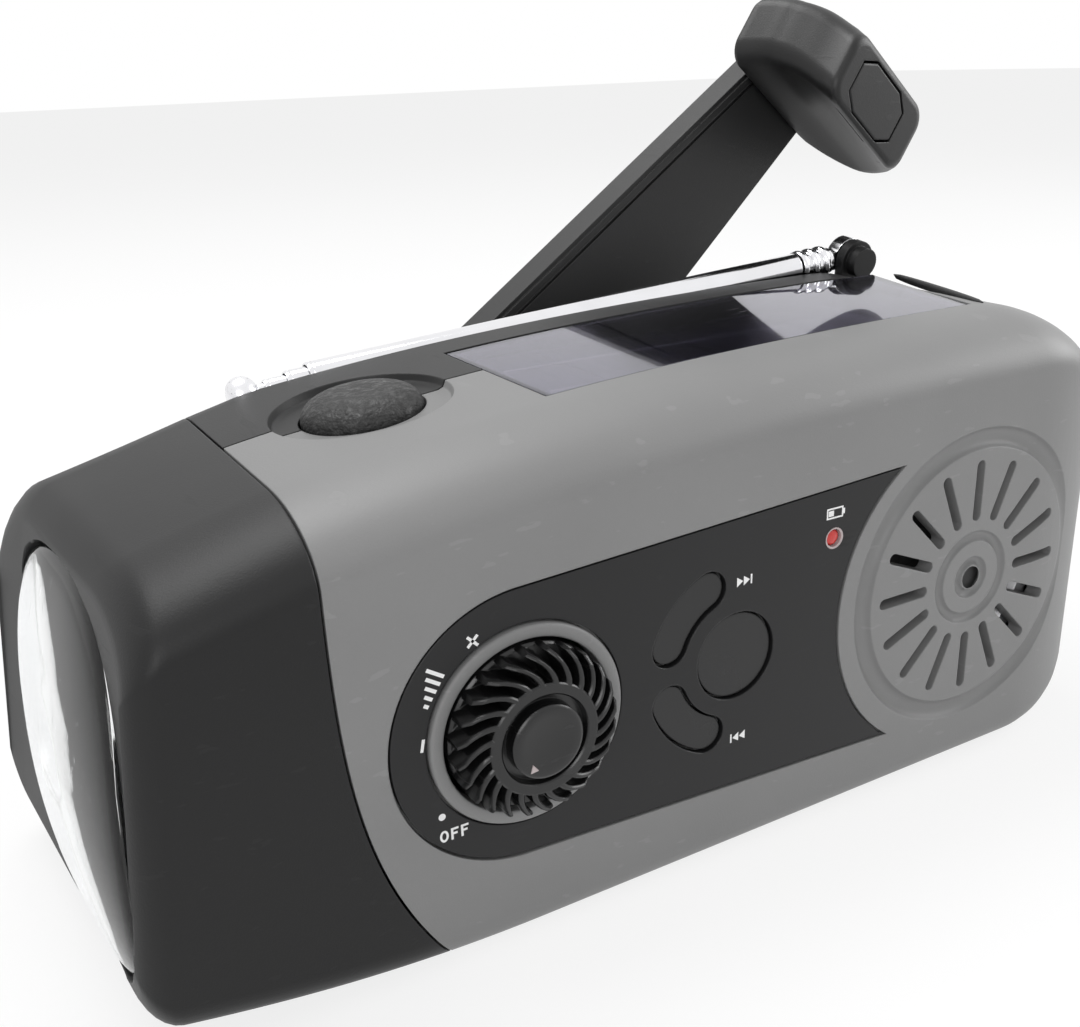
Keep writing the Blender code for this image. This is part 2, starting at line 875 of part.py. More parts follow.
def aerial_ledge_cut():
    """The ledge runs out past the torch end, so that the folded aerial can be drawn out along it."""
    end = aerial_pivot_x - torch_end_x + overrun * 3
    low = -aerial_reach()
    return box("ledge_cut", (-overrun * 3, low, low), (end, overrun * 2, overrun * 2), None, aerial_frame())


def aerial_tray(side):
    """The floor and wall behind the ledge, on one side of the torch cap's seam."""
    end = aerial_pivot_x - torch_end_x + overrun
    low = -aerial_reach() - aerial_ledge_wall
    tray = box("ledge", (-overrun * 3, low, low), (end, overrun, overrun), None, aerial_frame())
    half = wall / 2
    keep_inside(tray, casing("ledge_limit", half, torch_end_x + half, speaker_end_x - half),
                seam_region("ledge_region", side, clearance * 2, front_y - overrun, back_y_at_floor + overrun))
    return tray


def aerial_tab():
    """The ear that stands up from the rear top edge and takes the aerial's screw."""
    frame = aerial_frame()
    back = -aerial_eye_half_thickness - clearance
    half = aerial_eye_radius
    foot = box("tab_foot", (-half, -aerial_tab_foot, back - aerial_tab_thickness), (half, 0.0, back), None, frame)
    head = rod("tab_head", half, back - aerial_tab_thickness, back, None, frame, sides=small_sides)
    sleeve = rod("tab_sleeve", aerial_screw_radius * 2, -aerial_screw_reach - aerial_tab_thickness / 2,
                 back - aerial_tab_thickness / 2, None, frame, sides=small_sides)
    return foot, head, sleeve


def torch_cap(outer, inner):
    shell = copy_of(outer, "torch_cap")
    shell.data.materials.append(black)
    keep_inside(shell, seam_region("cap_region", -1, clearance / 2, front_y - overrun, back_y_at_floor + overrun))
    cut(shell, copy_of(inner, "cap_cavity"))
    join(shell, aerial_tray(-1))
    cut(shell, aerial_ledge_cut())
    cut(shell, oval_plug("lens_opening", lens_half_width, lens_half_height, -overrun * 2, overrun * 2))
    return shell


def torch_frame():
    """Origin in the lens opening, local Z out of the torch end, local X to the front; it leans as the end does."""
    top, foot = end_set_back(lens_z + lens_half_height), end_set_back(lens_z - lens_half_height)
    x = torch_end_x - torch_end_slant_share * (lens_y - front_y) + (top + foot) / 2
    return frame_at((x, lens_y, lens_z), (-1.0, -torch_end_slant_share, (top - foot) / (2 * lens_half_height)))


def oval(half_width, half_height, height, count=32):
    """A ring between an ellipse and a rectangle, leaning to the front at its foot and bent as the end is domed."""
    ring = []
    bend = torch_end_dome * (lens_half_height / (body_height / 2)) ** 2
    for k in range(count):
        across, up = math.cos(math.tau * k / count), math.sin(math.tau * k / count)
        across = math.copysign(abs(across) ** (2 / lens_squareness), across) * half_width
        up = math.copysign(abs(up) ** (2 / lens_squareness), up) * half_height
        ring.append((across - up * lens_lean_share, up, height + bend * (1 - (up / lens_half_height) ** 2)))
    return ring


def round_ring(radius, height, count=32):
    return [(x, y, height) for x, y in arc((0.0, 0.0), radius, 0.0, math.tau * (1 - 1 / count), count - 1)]


def oval_plug(name, half_width, half_height, start, end):
    return loft(name, [oval(half_width, half_height, start), oval(half_width, half_height, end)], None, torch_frame())


def torch_pieces():
    width, height = lens_half_width - clearance, lens_half_height - clearance
    rings = [oval(width * share, height * share, -lens_thickness - lens_seat) for share in lens_ring_shares]
    rings.append(oval(width, height, -lens_seat))
    for step in range(1, 4):
        reach = math.cos(math.pi / 2 * step / 4)
        rings.append(oval(width * reach, height * reach, -lens_seat + lens_crown * math.sin(math.pi / 2 * step / 4)))
    loft("torch_lens", rings, clear, torch_frame())

    back = -lens_seat - lens_thickness - clearance
    outer = [
        round_ring(reflector_floor_radius + reflector_wall, back - reflector_depth),
        round_ring(reflector_step_radius + reflector_wall, back - reflector_step_depth - reflector_wall),
        oval(width - wall, height - wall, back),
    ]
    inner = [
        oval(width - wall - reflector_wall, height - wall - reflector_wall, back),
        round_ring(reflector_step_radius, back - reflector_step_depth),
        round_ring(reflector_floor_radius, back - reflector_depth + reflector_wall),
    ]
    cup = loft("torch_reflector", outer + inner, chrome, torch_frame())
    floor = back - reflector_depth
    for k in range(3):
        turn = math.pi / 2 + math.tau * k / 3
        offset = Matrix.Translation((led_spacing / 2 * math.cos(turn), led_spacing / 2 * math.sin(turn), 0.0))
        frame = torch_frame() @ offset
        hole = rod("led_hole", led_radius + clearance, floor - overrun / 4, floor + overrun / 2, None, frame,
                   sides=small_sides)
        cut(cup, hole)
        base = floor - clearance * 2 - led_flange_height
        dome = [
            (0.0, base),
            (led_radius + led_flange, base),
            (led_radius + led_flange, base + led_flange_height),
            (led_radius, base + led_flange_height),
            (led_radius, base + led_height - led_radius),
        ]
        for step in range(1, 5):
            angle = math.pi / 2 * step / 4
            reach = 0.0 if step == 4 else led_radius * math.cos(angle)
            dome.append((reach, base + led_height - led_radius + led_radius * math.sin(angle)))
        turned("torch_led_%d" % (k + 1), dome, clear, frame, sides=small_sides)
    base = floor - clearance * 3 - led_flange_height
    rod("torch_led_board", led_board_radius, base - led_board_thickness, base, board_green, torch_frame())


def control_panel():
    plate = slab("control_panel", panel_outline(0.0), -panel_recess + clearance / 3,
                 -panel_recess + clearance / 3 + panel_thickness, panel_black, front_face)
    cut(plate, rod("ring_hole", knob_ring_outer + clearance, -overrun, overrun, None, front_frame(knob_x, knob_z)))
    for sign in (1, -1):
        cut(plate, slab("scan_hole", bean(sign, button_gap), -overrun, overrun, None, front_face))
    cut(
        plate,
        rod("centre_hole", centre_button_radius + button_gap, -overrun, overrun, None,
            front_frame(centre_button_x, centre_button_z)),
        rod("lamp_hole", charge_led_radius + clearance, -overrun, overrun, None,
            front_frame(charge_led_x, charge_led_z), sides=small_sides),
    )
    return plate


def knob_pieces():
    place = front_frame(knob_x, knob_z)
    bottom = -panel_recess + clearance / 3
    turned(
        "knob_ring",
        (
            (knob_ring_outer, bottom),
            (knob_ring_outer, knob_ring_proud),
            (knob_ring_inner, knob_ring_proud),
            (knob_ring_inner, bottom),
        ),
        grey,
        place,
    )
    face = knob_face_proud
    body = rod("volume_knob", knob_radius, face - knob_depth, face - knob_fin_depth, gloss_black, place)
    outline = []
    per_fin = math.tau / knob_fin_count
    for k in range(knob_fin_count):
        start = per_fin * k
        blade = per_fin * knob_fin_share
        for share in (0.0, 1.0):
            radius = knob_hub_radius + (knob_radius - knob_hub_radius) * share
            angle = start + knob_fin_sweep * share**2
            outline.append((radius * math.cos(angle), radius * math.sin(angle)))
        for share in (1.0, 0.0):
            radius = knob_hub_radius + (knob_radius - knob_hub_radius) * share
            angle = start + blade + knob_fin_sweep * share**2
            outline.append((radius * math.cos(angle), radius * math.sin(angle)))
    fins = slab("fins", outline, face - knob_fin_depth - clearance, face - knob_hub_proud, None, place)
    hub = rod("hub", knob_hub_radius - clearance, face - knob_fin_depth - clearance, face, None, place)
    join(body, fins, hub)
    cut(body, rod("shaft_hole", volume_shaft_radius + running_gap, face - knob_depth - overrun,
                  face - knob_depth + volume_shaft_grip, None, place, sides=small_sides))
    board = -(board_front_y - front_y)
    body_top = board + clearance + volume_body_depth
    rod("volume_control", volume_body_radius, board + clearance, body_top, steel, place)
    rod("volume_shaft", volume_shaft_radius, body_top + clearance,
        face - knob_depth + volume_shaft_grip - clearance, white_plastic, place, sides=small_sides)


def buttons():
    """Three keys behind the panel, each on its own little switch."""
    board = -(board_front_y - front_y)
    switch_top = board + clearance + switch_height
    top = -panel_recess + panel_thickness + clearance / 3 - button_set_back
    flange_top = -wall - clearance
    stem_end = switch_top + switch_plunger_height + clearance + button_travel

    def key(name, outline_of, middle):
        body = slab(name, outline_of(0.0), flange_top - button_flange_thickness, top, gloss_black, front_face)
        flange = slab("flange", outline_of(button_flange + button_gap), flange_top - button_flange_thickness,
                      flange_top, None, front_face)
        stem = rod("stem", button_stem_radius, stem_end, flange_top - button_flange_thickness / 2, None,
                   front_frame(*middle), sides=small_sides)
        join(body, flange, stem)
        base = rod("plunger", switch_plunger_radius, switch_top - clearance, switch_top + switch_plunger_height,
                   None, front_frame(*middle), sides=small_sides)
        half = switch_size / 2
        switch = box(
            name.replace("_button", "_switch"),
            (-half, -half, board + clearance),
            (half, half, switch_top),
            steel,
            front_frame(*middle),
        )
        join(switch, base)
        return body

    middle_angle = (scan_start_angle + scan_end_angle) / 2
    offset = (scan_track_radius * math.cos(middle_angle), scan_track_radius * math.sin(middle_angle))
    key("scan_forward_button", lambda grow: bean(1, grow), (centre_button_x + offset[0], centre_button_z + offset[1]))
    key("scan_back_button", lambda grow: bean(-1, grow), (centre_button_x + offset[0], centre_button_z - offset[1]))
    key(
        "centre_button",
        lambda grow: arc((centre_button_x, centre_button_z), centre_button_radius + min(grow, button_flange / 2),
                         0.0, math.tau * 23 / 24, 23),
        (centre_button_x, centre_button_z),
    )


def charge_lamp():
    board = -(board_front_y - front_y)
    top = -clearance
    place = front_frame(charge_led_x, charge_led_z)
    shape = [
        (0.0, board + clearance),
        (charge_led_base_radius, board + clearance),
        (charge_led_base_radius, -wall - clearance),
        (charge_led_radius, -wall - clearance),
        (charge_led_radius, top - charge_led_radius / 2),
        (charge_led_radius * 0.7, top - charge_led_radius * 0.15),
        (0.0, top),
    ]
    turned("charge_led", shape, red_lens, place, sides=small_sides)


def boards():
    low = (board_left_x, board_front_y, control_z - board_drop)
    high = (board_right_x, board_front_y + board_thickness, control_z + board_rise)
    chip_z = control_z - chip_drop
    box("main_board", low, high, board_green)
    half = chip_size / 2
    behind = board_front_y + board_thickness + clearance
    box("tuner_chip", (chip_x - half, behind, chip_z - half), (chip_x + half, behind + chip_height, chip_z + half),
        gloss_black)


def speaker():
    place = front_frame(speaker_x, speaker_z)
    back = -wall - speaker_set_back
    frame = [
        (speaker_radius, back),
        (speaker_radius, back - speaker_flange),
        (speaker_radius - speaker_flange * 1.4, back - speaker_flange),
        (magnet_radius, back - speaker_depth),
        (cone_apex_radius + speaker_flange, back - speaker_depth),
        (cone_apex_radius + speaker_flange, back - speaker_depth + speaker_flange),
        (magnet_radius - clearance, back - speaker_depth + speaker_flange),
        (speaker_radius - speaker_flange * 2, back - speaker_flange),
        (speaker_radius - speaker_flange * 1.4, back),
    ]
    turned("speaker_frame", frame[::-1], steel, place, sides=small_sides * 2)
    rim = speaker_radius - speaker_flange * 2.7
    front = back - speaker_flange * 0.5
    apex = back - speaker_depth + speaker_flange * 2
    slope = (front - apex) / (rim - cone_apex_radius)
    cone = [
        (0.0, apex + cone_apex_radius * 0.4),
        (cone_apex_radius, apex),
        (rim, apex + (rim - cone_apex_radius) * slope * 0.9),
        (rim, apex + (rim - cone_apex_radius) * slope * 0.9 - cone_thickness),
        (cone_apex_radius, apex - cone_thickness),
        (cone_apex_radius - cone_thickness, apex - cone_thickness * 1.5),
        (0.0, apex - cone_thickness * 1.5),
    ]
    turned("speaker_cone", cone[::-1], paper, place, sides=small_sides * 2)
    rod("speaker_magnet", magnet_radius, back - speaker_depth - clearance - magnet_depth,
        back - speaker_depth - clearance, steel, place)


def solar_pieces():
    plate = window_plate("solar_window", 0.0, clearance / 3, clearance / 3 + window_thickness)
    plate.data.materials.append(smoke)
    top = top_z(window_left_x) - wall - clearance
    box(
        "solar_panel",
        (window_left_x - solar_margin, window_front_y - solar_margin, top - solar_thickness),
        (window_right_front_x - solar_margin, window_rear_y + solar_margin, top),
        silicon,
    )


def torch_switch_pieces():
    floor = -torch_recess_depth
    frame = torch_button_frame
    under = -wall - clearance
    dome = [
        (0.0, under - torch_button_flange_thickness),
        (torch_dome_radius + torch_button_flange, under - torch_button_flange_thickness),
        (torch_dome_radius + torch_button_flange, under),
        (torch_dome_radius, under),
        (torch_dome_radius, floor),
    ]
    steps = 4
    for step in range(1, steps + 1):
        angle = math.pi / 2 * step / steps
        reach = 0.0 if step == steps else torch_dome_radius * math.cos(angle) ** 0.5
        dome.append((reach, floor + torch_dome_height * math.sin(angle)))
    button = turned("torch_button", dome, rubber, frame)
    board_top = torch_board_bottom() + board_thickness
    half_length, half_width = torch_board_length / 2, torch_board_width / 2
    box(
        "torch_switch_board",
        (torch_button_x - half_length, torch_button_y - half_width, board_top - board_thickness),
        (torch_button_x + half_length, torch_button_y + half_width, board_top),
        board_green,
    )
    switch_bottom = board_top + clearance
    half = switch_size / 2
    switch = box(
        "torch_switch",
        (torch_button_x - half, torch_button_y - half, switch_bottom),
        (torch_button_x + half, torch_button_y + half, switch_bottom + switch_height),
        steel,
    )
    upright = frame_at((torch_button_x, torch_button_y, 0.0), (0.0, 0.0, 1.0), (0.0, 1.0, 0.0))
    plunger_top = switch_bottom + switch_height + switch_plunger_height
    join(switch, rod("plunger", switch_plunger_radius, switch_bottom + switch_height - clearance, plunger_top, None,
                     upright, sides=small_sides))
    below = (frame.inverted() @ Vector((torch_button_x, torch_button_y, plunger_top))).z
    stem = rod("stem", torch_button_stem_radius, below + torch_button_travel + clearance * 2,
               under - torch_button_flange_thickness / 2, None, frame, sides=small_sides)
    join(button, stem)


# Crank


def hub_frame():
    """Origin where the crank's axis meets the back, local Z out of it, local X along the arm."""
    along = Vector((math.cos(crank_angle), 0.0, 0.0)) + back_up * math.sin(crank_angle)
    return frame_at(on_back(hub_x, hub_height), back_normal, back_normal.cross(along))


def pin_height():
    return arm_stand_off + arm_thickness / 2


def arm_frame():
    """Origin on the hinge pin, local X along the arm, local Z out of its outer face."""
    lift = Matrix.Translation((0.0, 0.0, pin_height()))
    return hub_frame() @ lift @ Matrix.Rotation(-fold_angle, 4, "Y")


def across(frame, x=0.0, z=0.0):
    """A frame whose Z axis runs across the arm, along its width."""
    return frame @ Matrix.Translation((x, 0.0, z)) @ Matrix.Rotation(-math.pi / 2, 4, "X")


def crank_hub():
    frame = hub_frame()
    hub = rod("crank_hub", hub_radius, hub_gap, hub_gap + hub_thickness, black, frame)
    lug_foot = box(
        "lug_foot",
        (-hub_lug_radius, -hub_lug_half_width, hub_gap + hub_thickness / 2),
        (hub_lug_radius, hub_lug_half_width, pin_height()),
        None,
        frame,
    )
    lug_top = rod("lug_top", hub_lug_radius, -hub_lug_half_width, hub_lug_half_width, None,
                  across(frame, 0.0, pin_height()))
    join(hub, lug_foot, lug_top)
    cut(hub, rod("pin_hole", hinge_pin_radius + running_gap, -hub_radius, hub_radius, None,
                 across(frame, 0.0, pin_height()), sides=small_sides))
    shaft_top = hub_gap + hub_thickness / 2
    cut(hub, rod("shaft_seat", shaft_radius + running_gap, -overrun, shaft_top, None, frame, sides=small_sides))
    rod("crank_shaft", shaft_radius, -shaft_reach(), shaft_top - clearance, steel, frame, sides=small_sides)
    bush = turned(
        "crank_bush",
        (
            (shaft_radius + running_gap, -wall - bush_flange_thickness - clearance),
            (shaft_radius + running_gap, 0.0),
            (bush_radius, 0.0),
            (bush_radius, -wall - clearance),
            (bush_flange_radius, -wall - clearance),
            (bush_flange_radius, -wall - bush_flange_thickness - clearance),
        )[::-1],
        brass,
        frame,
        sides=small_sides * 2,
    )
    return bush


def shaft_reach():
    return gear_layer(0) + gear_face / 2 + gear_step - gear_face + gear_face * 0.4


def crank_arm():
    frame = arm_frame()
    half = arm_thickness / 2
    tip_round = arc((crank_length, 0.0), arm_tip_half_width, -math.pi / 2, math.pi / 2, 12)
    root = arm_root_half_width
    outline = [(0.0, -root)] + tip_round + [(0.0, root)]
    arm = slab("crank_arm", outline, -half, half, black, frame)
    knuckle = rod("knuckle", half, -root, root, None, across(frame), sides=small_sides)
    join(arm, knuckle)
    gap = arm_fork_half_gap
    cut(arm, box("fork", (-overrun, -gap, -overrun), (arm_web_start, gap, overrun), None, frame))
    cut(arm, rod("pin_hole", hinge_pin_radius + running_gap, -root * 2, root * 2, None, across(frame),
                 sides=small_sides))
    cut(arm, rod("handle_pin_hole", handle_pin_radius + clearance / 3, -overrun, overrun, None,
                 frame @ Matrix.Translation((crank_length, 0.0, 0.0)), sides=small_sides))
    rod("hinge_pin", hinge_pin_radius, -hinge_pin_half_length, hinge_pin_half_length, steel, across(frame),
        sides=small_sides)


def handle_frame():
    """Origin on the arm's inner face at the handle's axis, local Z pointing in from the arm."""
    half = arm_thickness / 2
    flipped = Matrix.Rotation(math.pi, 4, "Y") @ Matrix.Rotation(handle_turn, 4, "Z")
    return arm_frame() @ Matrix.Translation((crank_length, 0.0, -half)) @ flipped


def handle_ring(height, low, high, left, right, ease, steps=4):
    """A round-cornered rectangle; local X runs back towards the hub, local Y across the arm."""
    half_along = (high - low) / 2 - ease
    half_across = (right - left) / 2 - ease
    corner = min(half_across, half_along) * handle_corner_share
    middle_along, middle_across = -(high + low) / 2, (left + right) / 2
    ring = []
    for quarter, (sx, sy) in enumerate(((1, 1), (-1, 1), (-1, -1), (1, -1))):
        middle = (middle_along + sx * (half_along - corner), middle_across + sy * (half_across - corner))
        turn = math.pi / 2 * quarter
        ring += [(x, y, height) for x, y in arc(middle, corner, turn, turn + math.pi / 2, steps)]
    return ring


def crank_handle():
    frame = handle_frame()
    rings = []
    for share, *limits in handle_stations:
        height = handle_gap + handle_length * share
        if share in (0.0, 1.0):
            inward = handle_end_round * (1 - 2 * share)
            rings.append(handle_ring(height, *limits, handle_end_round))
            rings.append(handle_ring(height + inward * 0.3, *limits, handle_end_round * 0.3))
            if share:
                rings[-2:] = rings[:-3:-1]
        else:
            rings.append(handle_ring(height, *limits, 0.0))
    grip = loft("crank_handle", rings, black, frame)
    top = handle_gap + handle_length
    cut(grip, rod("bore", handle_pin_radius + running_gap, -overrun, top + overrun, None, frame, sides=small_sides))
    well_floor = top - handle_cap_well
    cut(grip, slab("cap_well", octagon(clearance), well_floor, top + overrun, None, frame))
    slab("handle_cap", octagon(0.0), top - handle_cap_thickness, top, black, frame)
    head_start = well_floor + running_gap
    pin = rod("handle_pin", handle_pin_radius, -arm_thickness, head_start + handle_pin_head_height / 2, steel, frame,
              sides=small_sides)
    head = rod("pin_head", handle_pin_head_radius, head_start, head_start + handle_pin_head_height, None, frame,
               sides=small_sides)
    join(pin, head)


def octagon(grow):
    across_half = handle_cap_half_width + grow
    along_half = handle_cap_half_depth + grow
    points = []
    for sx, sy, first in ((1, 1, 0), (-1, 1, 1), (-1, -1, 0), (1, -1, 1)):
        pair = [(sx * along_half, sy * across_half * (1 - handle_cap_chamfer_share)),
                (sx * along_half * (1 - handle_cap_chamfer_share), sy * across_half)]
        points += pair[::-1] if first else pair
    return [(x + handle_cap_shift_along, y + handle_cap_shift_across) for x, y in points]


# Gears


def gear_outline(teeth, turn):
    pitch = gear_module * teeth / 2
    tip = pitch + gear_module * tooth_addendum_share
    root = pitch - gear_module * tooth_dedendum_share
    step = math.tau / teeth
    outline = []
    for k in range(teeth):
        middle = turn + step * k
        for radius, share, side in (
            (root, tooth_root_share, -1),
            (tip, tooth_tip_share, -1),
            (tip, tooth_tip_share, 1),
            (root, tooth_root_share, 1),
        ):
            angle = middle + side * step * share / 2
            outline.append((radius * math.cos(angle), radius * math.sin(angle)))
    return outline


def gear_layer(level):
    """Depth of a gear layer's middle below the back's outer face."""
    return wall + bush_flange_thickness + gear_wall_gap + gear_face / 2 + gear_step * level


def gear_centres():
    first = gear_module * (crank_gear_teeth + first_pinion_teeth) / 2
    second = gear_module * (first_wheel_teeth + second_pinion_teeth) / 2
    third = gear_module * (second_wheel_teeth + dynamo_pinion_teeth) / 2
    centres = [Vector((hub_x, hub_height))]
    for distance, angle in ((first, first_gear_angle), (second, second_gear_angle), (third, dynamo_angle)):
        centres.append(centres[-1] + distance * Vector((math.cos(angle), math.sin(angle))))
    return centres


def meshing_turn(driver_teeth, driver_turn, driven_teeth, angle):
    """The driven gear's turn that puts a gap opposite the driver's tooth on the line of centres."""
    phase = ((angle - driver_turn) / (math.tau / driver_teeth)) % 1.0
    step = math.tau / driven_teeth
    return angle + math.pi + step * (0.5 + phase)


def gear_place(centre):
    """Local X along +X and local Y up the back, local Z into the casing's outside."""
    origin = on_back(centre.x, centre.y)
    columns = (Vector((1.0, 0.0, 0.0)), back_up, Vector((1.0, 0.0, 0.0)).cross(back_up))
    return Matrix.Translation(origin) @ Matrix(columns).transposed().to_4x4()


def gear(name, centre, teeth, turn, level, look):
    depth = gear_layer(level)
    return slab(name, gear_outline(teeth, turn), depth - gear_face / 2, depth + gear_face / 2, look, gear_place(centre))


def gear_train():
    """Local Z of each gear's frame points into the casing, because X times up-the-back does."""
    hub, first, second, dynamo = gear_centres()
    bore = shaft_radius + running_gap
    crank_gear = gear("crank_gear", hub, crank_gear_teeth, 0.0, 0, white_plastic)
    cut(crank_gear, rod("bore", bore, 0.0, gear_layer(3), None, gear_place(hub), sides=small_sides))

    def compound(name, centre, small, small_turn, small_level, large, large_turn):
        body = gear(name, centre, large, large_turn, small_level + 1, white_plastic)
        depth = gear_layer(small_level)
        pinion = slab("pinion", gear_outline(small, small_turn), depth - gear_face / 2,
                      gear_layer(small_level + 1) - gear_face / 4, None, gear_place(centre))
        join(body, pinion)
        cut(body, rod("bore", gear_pin_radius + running_gap, 0.0, gear_layer(5), None, gear_place(centre),
                      sides=small_sides))
        return body

    first_turn = meshing_turn(crank_gear_teeth, 0.0, first_pinion_teeth, first_gear_angle)
    compound("first_gear", first, first_pinion_teeth, first_turn, 0, first_wheel_teeth, 0.0)
    second_turn = meshing_turn(first_wheel_teeth, 0.0, second_pinion_teeth, second_gear_angle)
    compound("second_gear", second, second_pinion_teeth, second_turn, 1, second_wheel_teeth, 0.0)
    dynamo_turn = meshing_turn(second_wheel_teeth, 0.0, dynamo_pinion_teeth, dynamo_angle)
    pinion = gear("dynamo_pinion", dynamo, dynamo_pinion_teeth, dynamo_turn, 2, brass)
    plate_depth = gear_layer(2) + gear_face / 2 + gear_step - gear_face
    shaft = rod("rotor_shaft", gear_pin_radius, gear_layer(2) - gear_face / 4,
                plate_depth + gear_plate_thickness + dynamo_collar_height, None, gear_place(dynamo), sides=small_sides)
    join(pinion, shaft)
    gear_frame(hub, first, second, dynamo, plate_depth)


def gear_frame(hub, first, second, dynamo, depth):
    """A plate on posts that carries the gear pins and the dynamo."""
    centres = (hub, first, second, dynamo)
    low_x = min(c.x for c in centres) - gear_plate_margin * 2.4
    high_x = max(c.x for c in centres) + gear_plate_margin * 2.4
    low_h = min(c.y for c in centres) - gear_plate_margin * 2.6
    high_h = max(c.y for c in centres) + gear_plate_margin * 1.6
    origin = gear_place(Vector((0.0, 0.0)))
    plate = box("gear_plate", (low_x, low_h, depth), (high_x, high_h, depth + gear_plate_thickness), steel, origin)
    posts = []
    inset = gear_post_radius * 1.2
    for x in (low_x + inset, high_x - inset):
        for h in (low_h + inset, high_h - inset):
            posts.append(rod("post", gear_post_radius, wall + clearance, depth + gear_plate_thickness / 2, None,
                             gear_place(Vector((x, h))), sides=small_sides))
    join(plate, *posts)
    cut(plate, rod("rotor_hole", dynamo_collar_radius + clearance, depth - overrun, depth + overrun, None,
                   gear_place(dynamo)))
    for name, centre in (("first_gear_pin", first), ("second_gear_pin", second)):
        rod(name, gear_pin_radius, wall + clearance, depth + gear_plate_thickness / 2, steel, gear_place(centre),
            sides=small_sides)
        cut(plate, rod("pin_seat", gear_pin_radius + running_gap / 2, depth - overrun,
                       depth + gear_plate_thickness + overrun, None, gear_place(centre), sides=small_sides))
    body_start = depth + gear_plate_thickness + clearance
    motor = rod("dynamo", dynamo_radius, body_start, body_start + dynamo_depth, steel, gear_place(dynamo))
    cut(motor, rod("rotor_bore", gear_pin_radius + running_gap, body_start - overrun,
                   body_start + dynamo_collar_height + clearance, None, gear_place(dynamo), sides=small_sides))


def battery():
    pitch = battery_cell_radius * battery_pitch_share
    half = battery_cell_length / 2
    cells = []
    for k in range(battery_cell_count):
        y = battery_y + pitch * (k - (battery_cell_count - 1) / 2)
        frame = frame_at((battery_x, y, wall + clearance + battery_cell_radius), (1.0, 0.0, 0.0))
        name = "battery_pack" if k == 0 else "cell"
        cells.append(rod(name, battery_cell_radius, -half, half, wrap if k == 0 else None, frame, sides=16))
    join(cells[0], *cells[1:])


def screws():
    for k, (x, z) in enumerate(screw_places):
        frame = frame_at((x, parting_y + screw_well_floor + clearance, z), (0.0, 1.0, 0.0))
        body = rod("case_screw_%d" % (k + 1), screw_head_radius, 0.0, screw_head_height, steel, frame,
                   sides=small_sides)
        stem = rod("stem", screw_radius - running_gap * 2, screw_head_height / 2 - screw_length / 1.3,
                   screw_head_height / 2, None, frame, sides=small_sides)
        join(body, stem)
        half = recess_arm / 2
        long_arm = recess_arm * 1.6
        floor = screw_head_height - recess_depth
        cut(body, box("slot_a", (-half, -long_arm, floor), (half, long_arm, overrun), None, frame))
        cut(body, box("slot_b", (-long_arm, -half, floor), (long_arm, half, overrun), None, frame))


def aerial():
    """Folded along the back: an eye that swivels on a screw, and four tubes one in another."""
    frame = aerial_frame()
    along = frame @ Matrix.Rotation(math.pi / 2, 4, "Y")
    half = aerial_eye_half_thickness
    eye = rod("aerial_base", aerial_eye_radius, -half, half, chrome, frame, sides=small_sides * 2)
    neck_end = (aerial_socket_start + aerial_socket_end) / 2
    neck = box("neck", (0.0, -aerial_neck_half_height, -half * 0.9), (neck_end, aerial_neck_half_height, half * 0.9),
               None, frame)
    bare, collar = aerial_radii[0] * 0.9, aerial_collar_radius
    third = (aerial_socket_end - aerial_socket_start) / 6
    profile = [(0.0, 0.0)]
    for step, radius in enumerate((bare, bare, collar, collar, bare, bare)):
        profile.append((radius, third * (step + (0.2 if step % 2 else 0.0))))
    profile += [(collar, third * 5.3), (collar, third * 6), (0.0, third * 6)]
    socket = turned("socket", profile, None, along @ Matrix.Translation((0.0, 0.0, aerial_socket_start)),
                    sides=small_sides)
    join(eye, neck, socket)
    cut(eye, rod("eye_hole", aerial_screw_radius + running_gap, -overrun, overrun, None, frame, sides=small_sides))
    screw = rod("aerial_screw", aerial_screw_radius, -aerial_screw_reach, half + clearance, steel, frame,
                sides=small_sides)
    head = rod("screw_head", aerial_screw_head_radius, half + clearance / 2, half + aerial_screw_head_height, None,
               frame, sides=small_sides)
    join(screw, head)

    length = aerial_pivot_x - aerial_tip_x
    start = aerial_socket_end + clearance
    steps = len(aerial_radii)
    for k, radius in enumerate(aerial_radii):
        end = length - aerial_step_out * (steps - 1 - k)
        bore = radius - aerial_tube_wall
        last = k == steps - 1
        tube = rod("aerial_tube_%d" % (k + 1), radius, start + clearance * k * 2, end, chrome, along,
                   sides=small_sides)
        if last:
            tip = turned(
                "tip",
                (
                    (0.0, end - aerial_tip_length / 2),
                    (aerial_tip_radius * 0.6, end - aerial_tip_length / 2),
                    (aerial_tip_radius, end - aerial_tip_length / 4),
                    (aerial_tip_radius, end + aerial_tip_length / 4),
                    (aerial_tip_radius * 0.6, end + aerial_tip_length / 2),
                    (0.0, end + aerial_tip_length / 2),
                ),
                None,
                along,
                sides=small_sides,
            )
            join(tube, tip)
        else:
            floor = start + clearance * (k * 2 + 1)
            cut(tube, rod("bore", bore, floor, end + overrun, None, along, sides=small_sides))


def build():
    outer = casing("outer", 0.0, torch_end_x, speaker_end_x)
    inner = casing("inner", wall, torch_end_x + wall, speaker_end_x - wall)
    for whole in (outer, inner):
        whole["kept"] = True
    front_housing(outer, inner)
    rear_housing(outer, inner)
    torch_cap(outer, inner)
    bpy.data.objects.remove(outer, do_unlink=True)
    bpy.data.objects.remove(inner, do_unlink=True)
    torch_pieces()
    control_panel()
    knob_pieces()
    buttons()
    charge_lamp()
    boards()
    speaker()
    solar_pieces()
    torch_switch_pieces()
    crank_hub()
    crank_arm()
    crank_handle()
    gear_train()
    battery()
    screws()
    aerial()
    for obj in parts.objects:
        obj.data.shade_smooth()
        obj.data.set_sharp_from_angle(angle=math.radians(35.0))


